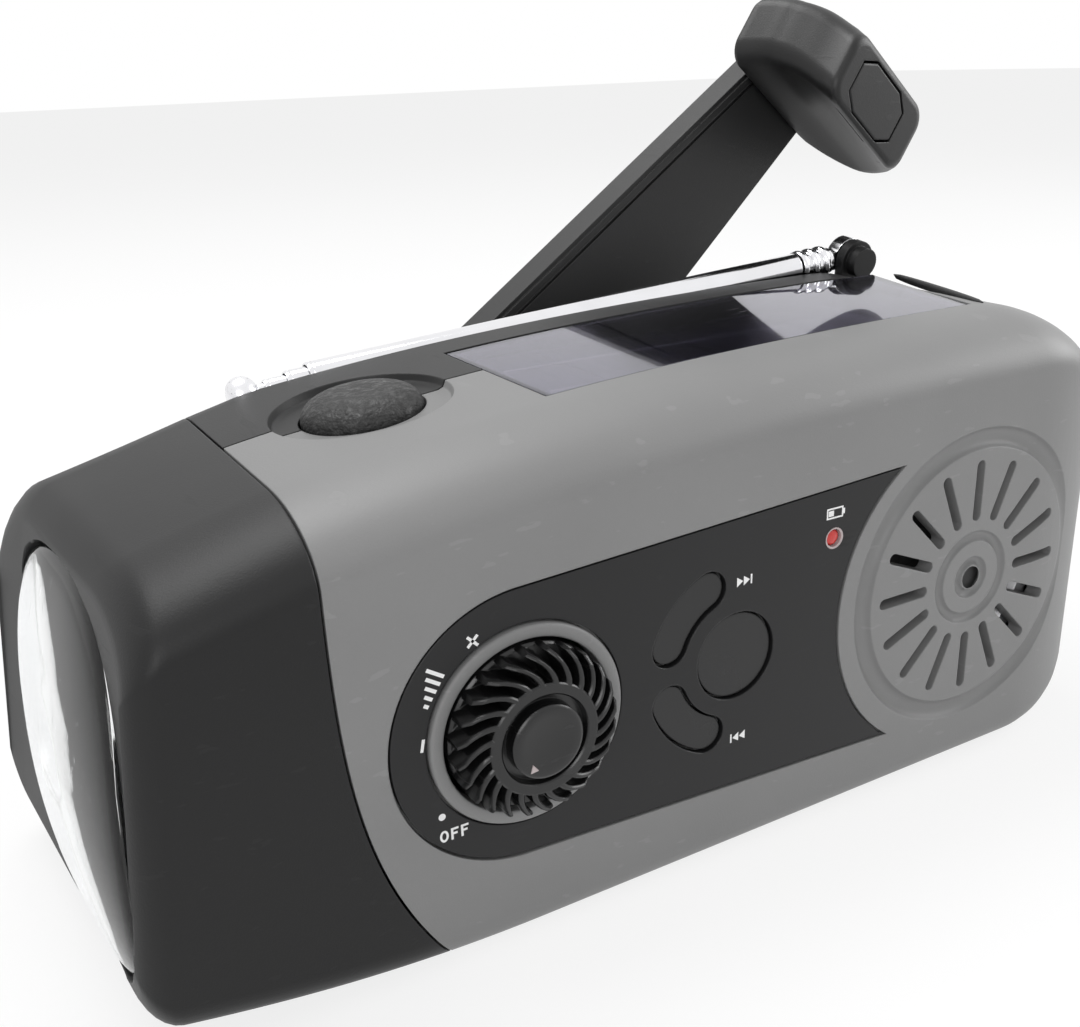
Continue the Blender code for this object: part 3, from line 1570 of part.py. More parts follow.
build()
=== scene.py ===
# %% [markdown]
# # A hand cranked solar radio, dressed in Blender
# The CAD model is loaded as a fixed frame. Each visible piece is then built again with softer edges
# and finer curves, in the same place and in metres, and each hidden piece keeps its CAD shape and
# gets a finish. The radio stands on Z = 0, its panel looks along -Y and its torch along -X.

import math

import bmesh
import bpy
from mathutils import Matrix, Vector


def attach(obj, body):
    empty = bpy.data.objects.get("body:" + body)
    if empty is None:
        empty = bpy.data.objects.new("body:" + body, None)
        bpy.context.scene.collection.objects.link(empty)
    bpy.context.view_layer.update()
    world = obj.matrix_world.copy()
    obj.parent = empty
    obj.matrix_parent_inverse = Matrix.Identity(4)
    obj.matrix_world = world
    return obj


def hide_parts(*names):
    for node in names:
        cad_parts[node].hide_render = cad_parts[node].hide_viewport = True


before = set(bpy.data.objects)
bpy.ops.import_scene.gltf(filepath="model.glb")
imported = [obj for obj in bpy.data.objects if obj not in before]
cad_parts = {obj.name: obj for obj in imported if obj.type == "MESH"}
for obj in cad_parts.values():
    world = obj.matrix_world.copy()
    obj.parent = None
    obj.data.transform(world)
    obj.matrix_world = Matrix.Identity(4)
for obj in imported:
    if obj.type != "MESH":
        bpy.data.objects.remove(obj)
scene = bpy.context.scene
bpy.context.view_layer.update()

# %% [markdown]
# ## The camera
# The photograph looks down on the radio's torch end from the front left. A camera could be aimed with a
# constraint, but a matrix built from its forward and right directions keeps the exact tilt of the picture.

# %% Camera
forward = Vector((0.456, 0.817, -0.352)).normalized()
right = Vector((0.866, -0.498, -0.033))
right = (right - forward * right.dot(forward)).normalized()
lens = bpy.data.cameras.new("camera")
lens.lens = 40.22
lens.sensor_width = 36.0
lens.clip_start = 0.005
camera = bpy.data.objects.new("camera", lens)
scene.collection.objects.link(camera)
camera.matrix_world = Matrix.Translation((-0.08588, -0.12748, 0.09582)) @ Matrix(
    (right, right.cross(forward), -forward)
).transposed().to_4x4()
scene.camera = camera
scene.view_settings.view_transform = "Standard"
print("camera looks along", tuple(round(c, 3) for c in forward))

# %% [markdown]
# ## Writing a finish as sums
# A material in Blender is a graph of nodes. Wiring it by hand is slow to read, so one small class stands for an
# output socket, and its operators add the Math nodes. Everything else goes through one method, node().


# %% A socket that can be added and multiplied
class Flow:
    """An output socket. An expression on flows adds Math nodes."""

    def __init__(self, recipe, socket):
        self.recipe, self.socket = recipe, socket

    def maths(self, operation, first, second=0.0):
        return self.recipe.node("Math", {"operation": operation}, {0: first, 1: second})

    def __add__(self, other):
        return self.maths("ADD", self, other)

    __radd__ = __add__

    def __sub__(self, other):
        return self.maths("SUBTRACT", self, other)

    def __rsub__(self, other):
        return self.maths("SUBTRACT", other, self)

    def __mul__(self, other):
        return self.maths("MULTIPLY", self, other)

    __rmul__ = __mul__

    def __truediv__(self, other):
        return self.maths("DIVIDE", self, other)

    def __pow__(self, other):
        return self.maths("POWER", self, other)


# %% A recipe for one material
class Recipe:
    """One material's nodes. node() adds any node and gives back one of its outputs."""

    def __init__(self, name):
        self.material = bpy.data.materials.new(name)
        self.material.use_nodes = True
        self.tree = self.material.node_tree
        self.shader = self.tree.nodes["Principled BSDF"]

    def feed(self, socket, value):
        if isinstance(value, Flow):
            self.tree.links.new(value.socket, socket)
        elif isinstance(value, (tuple, list)) and len(value) == 3 and socket.type == "RGBA":
            socket.default_value = (*value, 1.0)
        else:
            socket.default_value = value

    def node(self, kind, settings=None, sockets=None, out=0):
        made = self.tree.nodes.new("ShaderNode" + kind)
        for key, value in (settings or {}).items():
            if key == "stops":
                while len(made.color_ramp.elements) < len(value):
                    made.color_ramp.elements.new(0.5)
                for stop, (place, shade) in zip(made.color_ramp.elements, value):
                    stop.position = place
                    stop.color = (shade, shade, shade, 1.0)
            else:
                setattr(made, key, value)
        for key, value in (sockets or {}).items():
            self.feed(made.inputs[key], value)
        return Flow(self, made.outputs[out])

    def colour(self, factor, first, second):
        return self.node("Mix", {"data_type": "RGBA"}, {0: factor, 6: first, 7: second}, 2)

    def place(self, stretch=(1.0, 1.0, 1.0)):
        where = self.node("TexCoord", out="Object")
        return self.node("Mapping", {}, {"Vector": where, "Scale": stretch})

    def noise(self, scale, detail=3.0, rough=0.5, stretch=(1.0, 1.0, 1.0)):
        return self.node(
            "TexNoise", {}, {"Vector": self.place(stretch), "Scale": scale, "Detail": detail, "Roughness": rough}
        )

    def pits(self, scale, randomness=1.0):
        return self.node("TexVoronoi", {}, {"Vector": self.place(), "Scale": scale, "Randomness": randomness})

    def mask(self, value, low, high):
        return self.node("MapRange", {"clamp": True}, {0: value, 1: low, 2: high, 3: 0.0, 4: 1.0})

    def bumps(self, height, distance, strength=1.0, normal=None):
        sockets = {"Height": height, "Distance": distance, "Strength": strength}
        if normal:
            sockets["Normal"] = normal
        return self.node("Bump", {}, sockets)

    def rounded(self, radius):
        return self.node("Bevel", {"samples": 4}, {"Radius": radius})

    def edge(self, radius):
        """1 on a sharp edge, 0 on a flat."""
        normal = self.node("NewGeometry", out="Normal")
        turned_by = self.node("VectorMath", {"operation": "DOT_PRODUCT"}, {0: self.rounded(radius), 1: normal}, "Value")
        return self.mask(turned_by, 0.995, 0.86)

    def finish(self, **sockets):
        for key, value in sockets.items():
            self.feed(self.shader.inputs[key.replace("_", " ")], value)
        return self


print("recipes ready")

# %% [markdown]
# ## Moulded plastic
# The casing is satin plastic out of a spark-etched mould: an even colour that drifts a little, a grain finer than
# a quarter of a millimetre and a few hair-thin scuffs. Sharp edges get a painted highlight, a lighter colour. A Bevel
# node rounds the edges for the shader, which is lighter than a bevelled mesh where many holes meet a curved skin.


# %% Moulded plastic
def moulded(name, colour, roughness, grain=0.00003, edge_radius=0.0003, edge_light=1.25, level=0.35, scuff=0.5):
    r = Recipe(name)
    drift = r.noise(45.0, 4.0)
    fine = r.noise(4200.0, 2.0, 0.6)
    hair = r.noise(260.0, 2.0, 0.5, (1.0, 0.22, 3.2))
    scratch = r.mask(hair, 0.685, 0.705) * scuff
    dust = r.mask(r.noise(2300.0, 1.0), 0.76, 0.80) * 0.5
    edges = r.edge(edge_radius)
    darker = tuple(c * 0.90 for c in colour)
    lighter = tuple(min(1.0, c * 1.08) for c in colour)
    # painted highlight: the colour on sharp edges is made lighter, by edge_light, as if the edges caught light
    edge_highlight = tuple(min(1.0, c * edge_light + 0.006) for c in colour)
    base = r.colour(drift, darker, lighter)
    base = r.colour(edges * 0.55, base, edge_highlight)
    base = r.colour(scratch * 0.28 + dust * 0.16, base, tuple(min(1.0, c * 1.6 + 0.03) for c in colour))
    normal = r.bumps(fine + scratch * 0.5, grain, 0.7, r.rounded(edge_radius))
    return r.finish(
        Base_Color=base,
        Roughness=roughness + (drift - 0.5) * 0.10 + scratch * 0.12 - edges * 0.06,
        Specular_IOR_Level=level,
        Normal=normal,
    )


grey_satin = moulded("grey_satin", (0.205, 0.205, 0.205), 0.46, level=0.40)
black_satin = moulded("black_satin", (0.0095, 0.0095, 0.0098), 0.47, edge_light=2.2, level=0.28, scuff=0.35)
crank_black = moulded("crank_black", (0.012, 0.012, 0.0122), 0.43, edge_light=2.4, level=0.36, scuff=0.6)
panel_black = moulded("panel_black", (0.0115, 0.0115, 0.012), 0.36, grain=0.00001, edge_light=3.0, level=0.30, scuff=0.2)
knob_black = moulded("knob_black", (0.006, 0.006, 0.0062), 0.24, grain=0.000012, edge_radius=0.0002, edge_light=3.0, level=0.5)
key_black = moulded("key_black", (0.008, 0.008, 0.0083), 0.28, grain=0.00001, edge_light=3.0, level=0.45, scuff=0.2)
well_black = moulded("well_black", (0.004, 0.004, 0.004), 0.5, level=0.2)
print("moulded finishes made")

# %% [markdown]
# ## Rubber
# The torch button is soft rubber with a pebbled skin. Two Voronoi textures of different size give the pebbles,
# and the tops are rubbed a little lighter and smoother than the hollows.


# %% Pebbled rubber
def pebbled_rubber():
    r = Recipe("pebbled_rubber")
    pebbles = r.pits(1500.0)
    small = r.pits(3400.0)
    lumps = r.noise(900.0, 3.0, 0.7)
    height = (1.0 - pebbles) * 0.6 + (1.0 - small) * 0.3 + lumps * 0.6
    rubbed = r.mask(lumps, 0.45, 0.7)
    return r.finish(
        Base_Color=r.colour(rubbed, (0.010, 0.010, 0.010), (0.030, 0.030, 0.030)),
        Roughness=0.62 - rubbed * 0.22,
        Specular_IOR_Level=0.42,
        Normal=r.bumps(height, 0.00022, 0.9, r.rounded(0.0003)),
    )


rubber = pebbled_rubber()

# %% [markdown]
# ## Metals
# The aerial is bright plated brass with rub marks along it, the torch's reflector is vacuum coated plastic and
# far smoother, and screws and gears are plain steel, brass and acetal. One function serves all the metals: the
# colour, the roughness and the strength of the rub marks differ.


# %% Metals
def metal(name, colour, roughness, rub=0.12, pitting=0.0, stretch=(1.0, 1.0, 1.0), rub_scale=700.0):
    r = Recipe(name)
    marks = r.noise(rub_scale, 4.0, 0.6, stretch)
    stain = r.mask(r.noise(120.0, 3.0), 0.45, 0.75)
    pits = r.mask(r.pits(1600.0), 0.30, 0.05) * pitting
    base = r.colour(stain * 0.35, colour, tuple(c * 0.82 for c in colour))
    base = r.colour(pits, base, tuple(c * 0.25 for c in colour))
    return r.finish(
        Base_Color=base,
        Metallic=1.0,
        Roughness=roughness + marks * rub + pits * 0.3,
        Normal=r.bumps(marks * 0.4 - pits, 0.00004, 0.35, r.rounded(0.00015)),
    )


chrome = metal("bright_plate", (0.86, 0.86, 0.88), 0.06, 0.10, 0.0, (0.08, 1.0, 1.0))
pitted_chrome = metal("pitted_plate", (0.84, 0.84, 0.86), 0.12, 0.20, 0.9)
reflector_plate = metal("reflector_plate", (0.93, 0.93, 0.94), 0.10, 0.12, 0.0, (1.0, 1.0, 1.0), 260.0)
steel = metal("plain_steel", (0.52, 0.52, 0.53), 0.28, 0.25)
brass = metal("plain_brass", (0.66, 0.47, 0.20), 0.26, 0.22)
print("metals made")

# %% [markdown]
# ## Clear and smoked plastic
# The torch's lens is clear and the solar window is smoked violet grey. Both are solid plates, so a transmissive
# shader bends light through them as the real plastic does. The window also mirrors the room strongly, because
# it is seen at a low angle.


# %% Clear plastics
def clear_plastic(name, colour, roughness, index, tint=(1.0, 1.0, 1.0), smear=0.03):
    r = Recipe(name)
    film = r.mask(r.noise(90.0, 4.0, 0.6, (1.0, 0.5, 1.0)), 0.45, 0.8)
    scratch = r.mask(r.noise(420.0, 2.0, 0.5, (0.2, 2.4, 1.0)), 0.70, 0.72)
    return r.finish(
        Base_Color=r.colour(film * 0.4, colour, tuple(c * 0.9 for c in colour)),
        Roughness=roughness + film * smear + scratch * 0.1,
        Transmission_Weight=1.0,
        IOR=index,
        Specular_Tint=(*tint, 1.0),
        Normal=r.bumps(scratch, 0.00001, 0.3),
    )


clear = clear_plastic("clear_plastic", (0.97, 0.98, 0.98), 0.02, 1.46)
smoked = clear_plastic("smoked_plastic", (0.42, 0.40, 0.52), 0.025, 1.85, (0.80, 0.80, 1.0), 0.05)
print("clear plastics made")


# %% [markdown]
# ## Small finishes
# Printed ink, the red lamp, the solar cells, the circuit boards, the speaker's paper, the battery's sleeve and
# the acetal gears are each simple, but none is one flat colour.


# %% Small finishes
def simple(name, first, second, scale, roughness, spread=0.1, depth=0.00002, stretch=(1.0, 1.0, 1.0), level=0.5):
    r = Recipe(name)
    tone = r.noise(scale, 4.0, 0.6, stretch)
    fine = r.noise(3800.0, 2.0)
    return r.finish(
        Base_Color=r.colour(tone, first, second),
        Roughness=roughness + (tone - 0.5) * spread,
        Specular_IOR_Level=level,
        Normal=r.bumps(fine, depth, 0.6),
    )


def circuit_board():
    """Solder resist over copper: a brick pattern of tracks, slightly raised and lighter."""
    r = Recipe("circuit_board")
    tracks = r.node(
        "TexBrick",
        {"offset": 0.37, "squash": 1.6, "squash_frequency": 3},
        {"Vector": r.place((1.0, 1.0, 1.0)), "Scale": 420.0, "Mortar Size": 0.05, "Color1": (1, 1, 1, 1),
         "Color2": (1, 1, 1, 1), "Mortar": (0, 0, 0, 1)},
    )
    tone = r.noise(160.0, 3.0)
    base = r.colour(tone, (0.012, 0.085, 0.035), (0.02, 0.12, 0.05))
    return r.finish(
        Base_Color=r.colour((1.0 - tracks) * 0.6, base, (0.05, 0.20, 0.08)),
        Roughness=0.42 + tone * 0.1,
        Normal=r.bumps(1.0 - tracks, 0.00004, 0.6),
    )


def cell_silicon():
    """Dark violet blue crystal with fine silver fingers across each cell."""
    r = Recipe("cell_silicon")
    where = r.node("SeparateXYZ", {}, {0: r.node("TexCoord", out="Object")}, 0)
    finger = r.mask((where * 900.0).maths("PINGPONG", where * 900.0, 1.0), 0.06, 0.0)
    flakes = r.pits(420.0)
    base = r.colour(flakes, (0.008, 0.008, 0.022), (0.020, 0.018, 0.045))
    return r.finish(
        Base_Color=r.colour(finger * 0.7, base, (0.22, 0.22, 0.26)),
        Roughness=0.28 - finger * 0.05,
        Normal=r.bumps(flakes, 0.00001, 0.4),
    )


ink = simple("printed_ink", (0.74, 0.74, 0.74), (0.86, 0.86, 0.86), 1500.0, 0.55)
lamp_red = simple("lamp_red", (0.42, 0.012, 0.010), (0.60, 0.03, 0.02), 1800.0, 0.18, level=0.7)
lamp_rim = simple("lamp_rim", (0.36, 0.30, 0.30), (0.50, 0.44, 0.44), 1500.0, 0.35)
cell_backing = simple("cell_backing", (0.10, 0.10, 0.14), (0.16, 0.15, 0.20), 300.0, 0.4)
cell_metal = simple("cell_contact", (0.42, 0.42, 0.46), (0.60, 0.60, 0.64), 900.0, 0.3)
paper = simple("speaker_paper", (0.025, 0.025, 0.025), (0.06, 0.06, 0.058), 1300.0, 0.85, 0.1, 0.00008)
acetal = simple("acetal", (0.66, 0.66, 0.62), (0.78, 0.78, 0.74), 240.0, 0.38)
sleeve = simple("battery_sleeve", (0.03, 0.13, 0.08), (0.05, 0.19, 0.12), 200.0, 0.3)
chip_resin = simple("chip_resin", (0.012, 0.012, 0.012), (0.03, 0.03, 0.03), 900.0, 0.5, 0.1, 0.00004)
led_resin = clear_plastic("led_resin", (0.95, 0.97, 1.0), 0.03, 1.5)
board_green = circuit_board()
cells = cell_silicon()
print("small finishes made")

# %% [markdown]
# ## Light, floor and backdrop
# A catalogue picture is lit by large soft boxes, on white. The room is a plain grey glow for diffuse light and
# plain white for the camera and for reflections, which Light Path tells apart, so metal shows a white room.


# %% Room
world = bpy.data.worlds.new("room")
scene.world = world
world.use_nodes = True
nodes, links = world.node_tree.nodes, world.node_tree.links
nodes.clear()
path = nodes.new("ShaderNodeLightPath")
seen = nodes.new("ShaderNodeMath")
seen.operation = "MAXIMUM"
links.new(path.outputs["Is Camera Ray"], seen.inputs[0])
shiny = nodes.new("ShaderNodeMath")
shiny.operation = "MAXIMUM"
links.new(path.outputs["Is Glossy Ray"], shiny.inputs[0])
links.new(path.outputs["Is Transmission Ray"], shiny.inputs[1])
links.new(shiny.outputs[0], seen.inputs[1])
glow, white = nodes.new("ShaderNodeBackground"), nodes.new("ShaderNodeBackground")
glow.inputs[0].default_value, glow.inputs[1].default_value = (1.0, 1.0, 1.0, 1.0), 0.42
white.inputs[0].default_value, white.inputs[1].default_value = (1.0, 1.0, 1.0, 1.0), 1.0
blend = nodes.new("ShaderNodeMixShader")
links.new(seen.outputs[0], blend.inputs[0])
links.new(glow.outputs[0], blend.inputs[1])
links.new(white.outputs[0], blend.inputs[2])
links.new(blend.outputs[0], nodes.new("ShaderNodeOutputWorld").inputs[0])


def floor_white():
    """A white floor that keeps a soft shadow: mostly its own light for the camera, partly lit by the lamps."""
    r = Recipe("floor_white")
    seen_directly = r.node("LightPath", out="Is Camera Ray")
    mirrored = r.node("LightPath", out="Is Glossy Ray")
    through = r.node("LightPath", out="Is Transmission Ray")
    seen_at_all = seen_directly.maths("MAXIMUM", seen_directly, mirrored).maths("MAXIMUM", mirrored, through)
    seen_at_all = seen_directly.maths("MAXIMUM", seen_directly, seen_at_all)
    glow_shader = r.node("Emission", {}, {"Color": (1.0, 1.0, 1.0), "Strength": 1.0})
    tone = r.noise(3.0, 3.0)
    r.finish(Base_Color=r.colour(tone, (0.90, 0.90, 0.90), (0.93, 0.93, 0.93)), Roughness=0.9, Specular_IOR_Level=0.0)
    mix = r.node("MixShader", {}, {0: seen_at_all * 0.80, 1: Flow(r, r.shader.outputs[0]), 2: glow_shader})
    r.tree.links.new(mix.socket, r.tree.nodes["Material Output"].inputs[0])
    return r


bm = bmesh.new()
bmesh.ops.create_grid(bm, x_segments=8, y_segments=8, size=4.0)
floor_mesh = bpy.data.meshes.new("floor")
bm.to_mesh(floor_mesh)
bm.free()
floor_mesh.materials.append(floor_white().material)
floor = bpy.data.objects.new("floor", floor_mesh)
floor.location.z = -0.0002
scene.collection.objects.link(floor)


def soft_box(name, position, target, width, height, power):
    light = bpy.data.lights.new(name, "AREA")
    light.shape = "RECTANGLE"
    light.size, light.size_y, light.energy = width, height, power
    made = bpy.data.objects.new(name, light)
    scene.collection.objects.link(made)
    made.location = position
    made.rotation_mode = "QUATERNION"
    made.rotation_quaternion = (Vector(target) - Vector(position)).to_track_quat("-Z", "Y")
    return made


middle = (0.0, 0.0, 0.03)
soft_box("overhead_box", (-0.10, 0.25, 0.75), middle, 0.55, 0.35, 4.2)
soft_box("front_box", (-0.55, -0.75, 0.45), middle, 0.5, 0.5, 3.2)
soft_box("speaker_side_box", (0.70, -0.15, 0.35), middle, 0.4, 0.4, 2.6)

# %% [markdown]
# ## Mesh tools
# Most pieces are a turned profile, a plate cut to an outline, or a skin through a row of rings. Three helpers make
# these, one cuts or joins them with exact Booleans, and one puts the finished mesh on its body.


# %% Mesh tools
def raw(name, bm, place=None):
    bmesh.ops.recalc_face_normals(bm, faces=bm.faces)
    mesh = bpy.data.meshes.new(name)
    bm.to_mesh(mesh)
    bm.free()
    if place:
        mesh.transform(place)
    made = bpy.data.objects.new(name, mesh)
    scene.collection.objects.link(made)
    return made


def spin(name, profile, place=None, sides=96):
    """A profile of (radius, height) pairs turned about local Z; rings at radius 0 become single points."""
    bm = bmesh.new()
    rings = []
    for radius, height in profile:
        count = sides if radius > 0 else 1
        rings.append(
            [
                bm.verts.new((radius * math.cos(math.tau * k / sides), radius * math.sin(math.tau * k / sides), height))
                for k in range(count)
            ]
        )
    closed = profile[0][0] > 0 and profile[-1][0] > 0
    for first, second in list(zip(rings, rings[1:])) + ([(rings[-1], rings[0])] if closed else []):
        for k in range(sides):
            after = (k + 1) % sides
            if len(first) == 1:
                bm.faces.new((first[0], second[after], second[k]))
            elif len(second) == 1:
                bm.faces.new((first[k], first[after], second[0]))
            else:
                bm.faces.new((first[k], first[after], second[after], second[k]))
    return raw(name, bm, place)


def skin(name, rings, place=None):
    """A skin through rings of equal point counts, closed at both ends."""
    bm = bmesh.new()
    levels = [[bm.verts.new(point) for point in ring] for ring in rings]
    count = len(levels[0])
    for first, second in zip(levels, levels[1:]):
        for k in range(count):
            after = (k + 1) % count
            bm.faces.new((first[k], first[after], second[after], second[k]))
    bm.faces.new(levels[0][::-1])
    bm.faces.new(levels[-1])
    return raw(name, bm, place)


def plate(name, outlines, start, end, place=None, rounding=0.0, steps=3):
    """Flat outlines in local XY, the first with the others as holes in it, made solid between two heights."""
    curve = bpy.data.curves.new(name, "CURVE")
    curve.dimensions = "2D"
    curve.fill_mode = "BOTH"
    curve.extrude = (end - start) / 2
    for outline in outlines:
        spline = curve.splines.new("POLY")
        spline.points.add(len(outline) - 1)
        for point, (x, y) in zip(spline.points, outline):
            point.co = (x, y, 0.0, 1.0)
        spline.use_cyclic_u = True
    drawn = bpy.data.objects.new(name, curve)
    scene.collection.objects.link(drawn)
    bpy.context.view_layer.update()
    mesh = bpy.data.meshes.new_from_object(drawn.evaluated_get(bpy.context.evaluated_depsgraph_get()))
    bpy.data.objects.remove(drawn, do_unlink=True)
    bm = bmesh.new()
    bm.from_mesh(mesh)
    bmesh.ops.remove_doubles(bm, verts=bm.verts, dist=0.000002)
    bmesh.ops.translate(bm, verts=bm.verts, vec=(0.0, 0.0, (start + end) / 2))
    bpy.data.meshes.remove(mesh)
    made = raw(name, bm, None)
    if rounding:
        soften(made, rounding, steps)
    if place:
        made.data.transform(place)
    return made


def settle(made):
    """Bakes a piece's modifiers into its mesh."""
    bpy.context.view_layer.update()
    mesh = bpy.data.meshes.new_from_object(made.evaluated_get(bpy.context.evaluated_depsgraph_get()))
    made.modifiers.clear()
    old, made.data = made.data, mesh
    bpy.data.meshes.remove(old)
    return made


def soften(made, width, steps=3, angle=40.0):
    bevel = made.modifiers.new("soften", "BEVEL")
    bevel.width, bevel.segments, bevel.limit_method = width, steps, "ANGLE"
    bevel.angle_limit = math.radians(angle)
    return settle(made)


def carve(made, operation, *tools):
    for tool in tools:
        step = made.modifiers.new("carve", "BOOLEAN")
        step.operation, step.solver, step.object = operation, "EXACT", tool
    settle(made)
    for tool in tools:
        bpy.data.objects.remove(tool, do_unlink=True)
    bm = bmesh.new()
    bm.from_mesh(made.data)
    bmesh.ops.remove_doubles(bm, verts=bm.verts, dist=0.000002)
    bmesh.ops.dissolve_degenerate(bm, edges=bm.edges, dist=0.000002)
    bm.to_mesh(made.data)
    bm.free()
    return made


def fit(made, finish, body, *replaced, slot=None, crease=38.0):
    """Smooths the shading, gives the finish, hides the CAD nodes that the piece stands for, and rides on the body."""
    made.data.materials.clear()
    for look in finish if isinstance(finish, (list, tuple)) else [finish]:
        made.data.materials.append(look.material)
    made.data.shade_smooth()
    made.data.set_sharp_from_angle(angle=math.radians(crease))
    weigh = made.modifiers.new("even_shading", "WEIGHTED_NORMAL")
    weigh.keep_sharp = True
    settle(made)
    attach(made, body)
    if replaced:
        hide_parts(*replaced)
    return made


def arc(centre, radius, start, end, steps):
    turns = [start + (end - start) * k / steps for k in range(steps + 1)]
    return [(centre[0] + radius * math.cos(t), centre[1] + radius * math.sin(t)) for t in turns]


def circle(centre, radius, steps=72):
    return arc(centre, radius, 0.0, math.tau * (1 - 1 / steps), steps - 1)


def frame_at(origin, normal, up=(0.0, 0.0, 1.0)):
    z_axis = Vector(normal).normalized()
    x_axis = Vector(up).cross(z_axis).normalized()
    turned_frame = Matrix((x_axis, z_axis.cross(x_axis), z_axis)).transposed().to_4x4()
    return Matrix.Translation(Vector(origin)) @ turned_frame


print("mesh tools ready")

# %% [markdown]
# ## The casing's form
# The casing is one long skin: a level belly that lifts towards the torch, a top that falls away in a crown, a back
# that leans 8 degrees, and a speaker end that closes in a soft round. The same few curves that shaped the CAD
# model are sampled much more finely here, so that no facet shows in the highlights.

# %% Sizes of the casing, in metres
height, front_y, floor_back_y, lean = 0.0622, -0.0264, 0.0332, math.radians(8.0)
speaker_end, torch_end, wall, gap = 0.0680, -0.0752, 0.0024, 0.0003
crown_x, crown_drop, belly_x, belly_rise = 0.0413, 0.0107, -0.0300, 0.0052
parting, seam_x, seam_sweep, reach_out = 0.0033, -0.0535, 0.0125, 0.0100
end_slant, end_dome, dome_z, end_round, round_start = 0.09, 0.0042, 0.0160, 0.0030, 0.0200
control_z = height * 0.455


def top_z(x):
    share = (crown_x - x) / (crown_x - torch_end)
    return height - crown_drop * (0.59 * share**2 + 0.41 * share**4)


def bottom_z(x):
    return belly_rise * max(0.0, (belly_x - x) / (belly_x - torch_end)) ** 2


def back_y(z):
    return floor_back_y - z * math.tan(lean)


def set_back(z):
    return end_dome * ((z - dome_z) / (height / 2)) ** 2


def section(x, inset=0.0, shrink=0.0, fine=3):
    share, full = max(0.0, (x - speaker_end + round_start) / round_start), 0.94
    closing = 0.0138 * (1 - math.sqrt(max(0.0, 1 - full * share**2))) / (1 - math.sqrt(1 - full))
    front = front_y + inset + shrink + closing * 0.74
    top = top_z(x) - inset - shrink - closing
    low = bottom_z(x) + inset + shrink + closing * 0.74
    pull = (inset + shrink + closing * 0.56) / math.cos(lean)
    depth, rise = 0.0135 - inset * 0.5, 0.0070 - inset * 0.5
    torch_rise = max(0.0, -0.0400 - x) / (-0.0400 - torch_end)
    rear = max(0.0030 + 0.0100 * (1 - (1 - torch_rise) ** 2) - inset, wall / 4)
    foot = max(0.0045 - inset, wall / 4)

    def rear_centre(z, radius):
        return (back_y(z) - pull - radius / math.cos(lean), z)

    ring = arc(rear_centre(top - rear, rear), rear, lean, math.pi / 2, 2 * fine)
    for k in range(6 * fine):
        turn = math.pi / 2 + math.pi / 2 * k / (6 * fine - 1)
        ring.append((front + depth + depth * math.cos(turn), top - rise + rise * math.sin(turn)))
    ring += arc((front + foot, low + foot), foot, math.pi, math.pi * 1.5, 2 * fine)
    ring += arc(rear_centre(low + foot, foot), foot, math.pi * 1.5, math.tau + lean, 2 * fine)
    end_share = max(0.0, min(1.0, (seam_x - x) / (seam_x - torch_end)))
    return [(x - end_share * end_slant * (y - front_y) + end_share * set_back(z), y, z) for y, z in ring]


def casing(name, inset, start, end, stations=56, fine=3):
    rings = []
    for step in range(2 * fine + 1):
        turn = math.pi / 2 * step / (2 * fine)
        x = start + end_round * (1 - math.cos(turn)) if step else start
        rings.append(section(x, inset, end_round * (1 - math.sin(turn)), fine))
    bend = speaker_end - round_start
    first = start + end_round * 1.3
    rings += [section(first + (bend - first) * k / stations, inset, 0.0, fine) for k in range(stations + 1)]
    ends = 7 * fine
    rings += [
        section(bend + (end - bend) * math.sin(math.pi / 2 * k / ends), inset, 0.0, fine) for k in range(1, ends + 1)
    ]
    return skin(name, rings)


def seam(z):
    return seam_x + seam_sweep * max(0.0, 1 - z / height) ** 4


facing_front = frame_at((0.0, 0.0, 0.0), (0.0, -1.0, 0.0))
front_plane = frame_at((0.0, front_y, 0.0), (0.0, -1.0, 0.0))


def seam_side(side, low_y, high_y):
    levels = [height * (1.3 - 1.6 * k / 60) for k in range(61)]
    far = speaker_end + 0.02 if side > 0 else torch_end - 0.02
    outline = [(seam(z) + gap / 2 * side, z) for z in levels] + [(far, levels[-1]), (far, levels[0])]
    return plate("seam_side", [outline], -high_y, -low_y, facing_front)


print("casing sampled with", len(section(0.0)), "points a ring")

# %% [markdown]
# ## Outlines on the front and the top
# The panel is round about the knob and hollow about the speaker, with a sharp tip above and below. The two curved
# keys are bands of a ring about the centre key. The window follows the crown and ends in a slant.

# %% Panel, key and window outlines
knob_x, knob_z, speaker_x, speaker_z = -0.0318, control_z, 0.0363, control_z + 0.0006
key_x, key_z, key_radius, track, band = -0.0033, control_z + 0.0001, 0.0054, 0.0103, 0.0022
lamp_x, lamp_z, lamp_radius = 0.0114, control_z + 0.0119, 0.0011


def on_front(x, z):
    return frame_at((x, front_y, z), (0.0, -1.0, 0.0))


def panel_outline(grow=0.0, tip_round=0.0007):
    knob = Vector((knob_x, knob_z))
    radius, hollow, rise = 0.0162 + grow, 0.0237 - grow, 0.0192 + grow
    tip = Vector((speaker_x - math.sqrt(hollow**2 - rise**2), speaker_z + rise))
    to_tip = tip - knob
    tangent = math.atan2(to_tip.y, to_tip.x) + math.acos(radius / to_tip.length)
    tip_turn = math.atan2(rise, tip.x - speaker_x)
    cut_back = tip_round / hollow
    outline = arc(knob, radius, tangent, math.tau - tangent, 72)
    outline += arc((speaker_x, knob_z), hollow, math.tau - tip_turn - cut_back, tip_turn + cut_back, 48)
    return outline


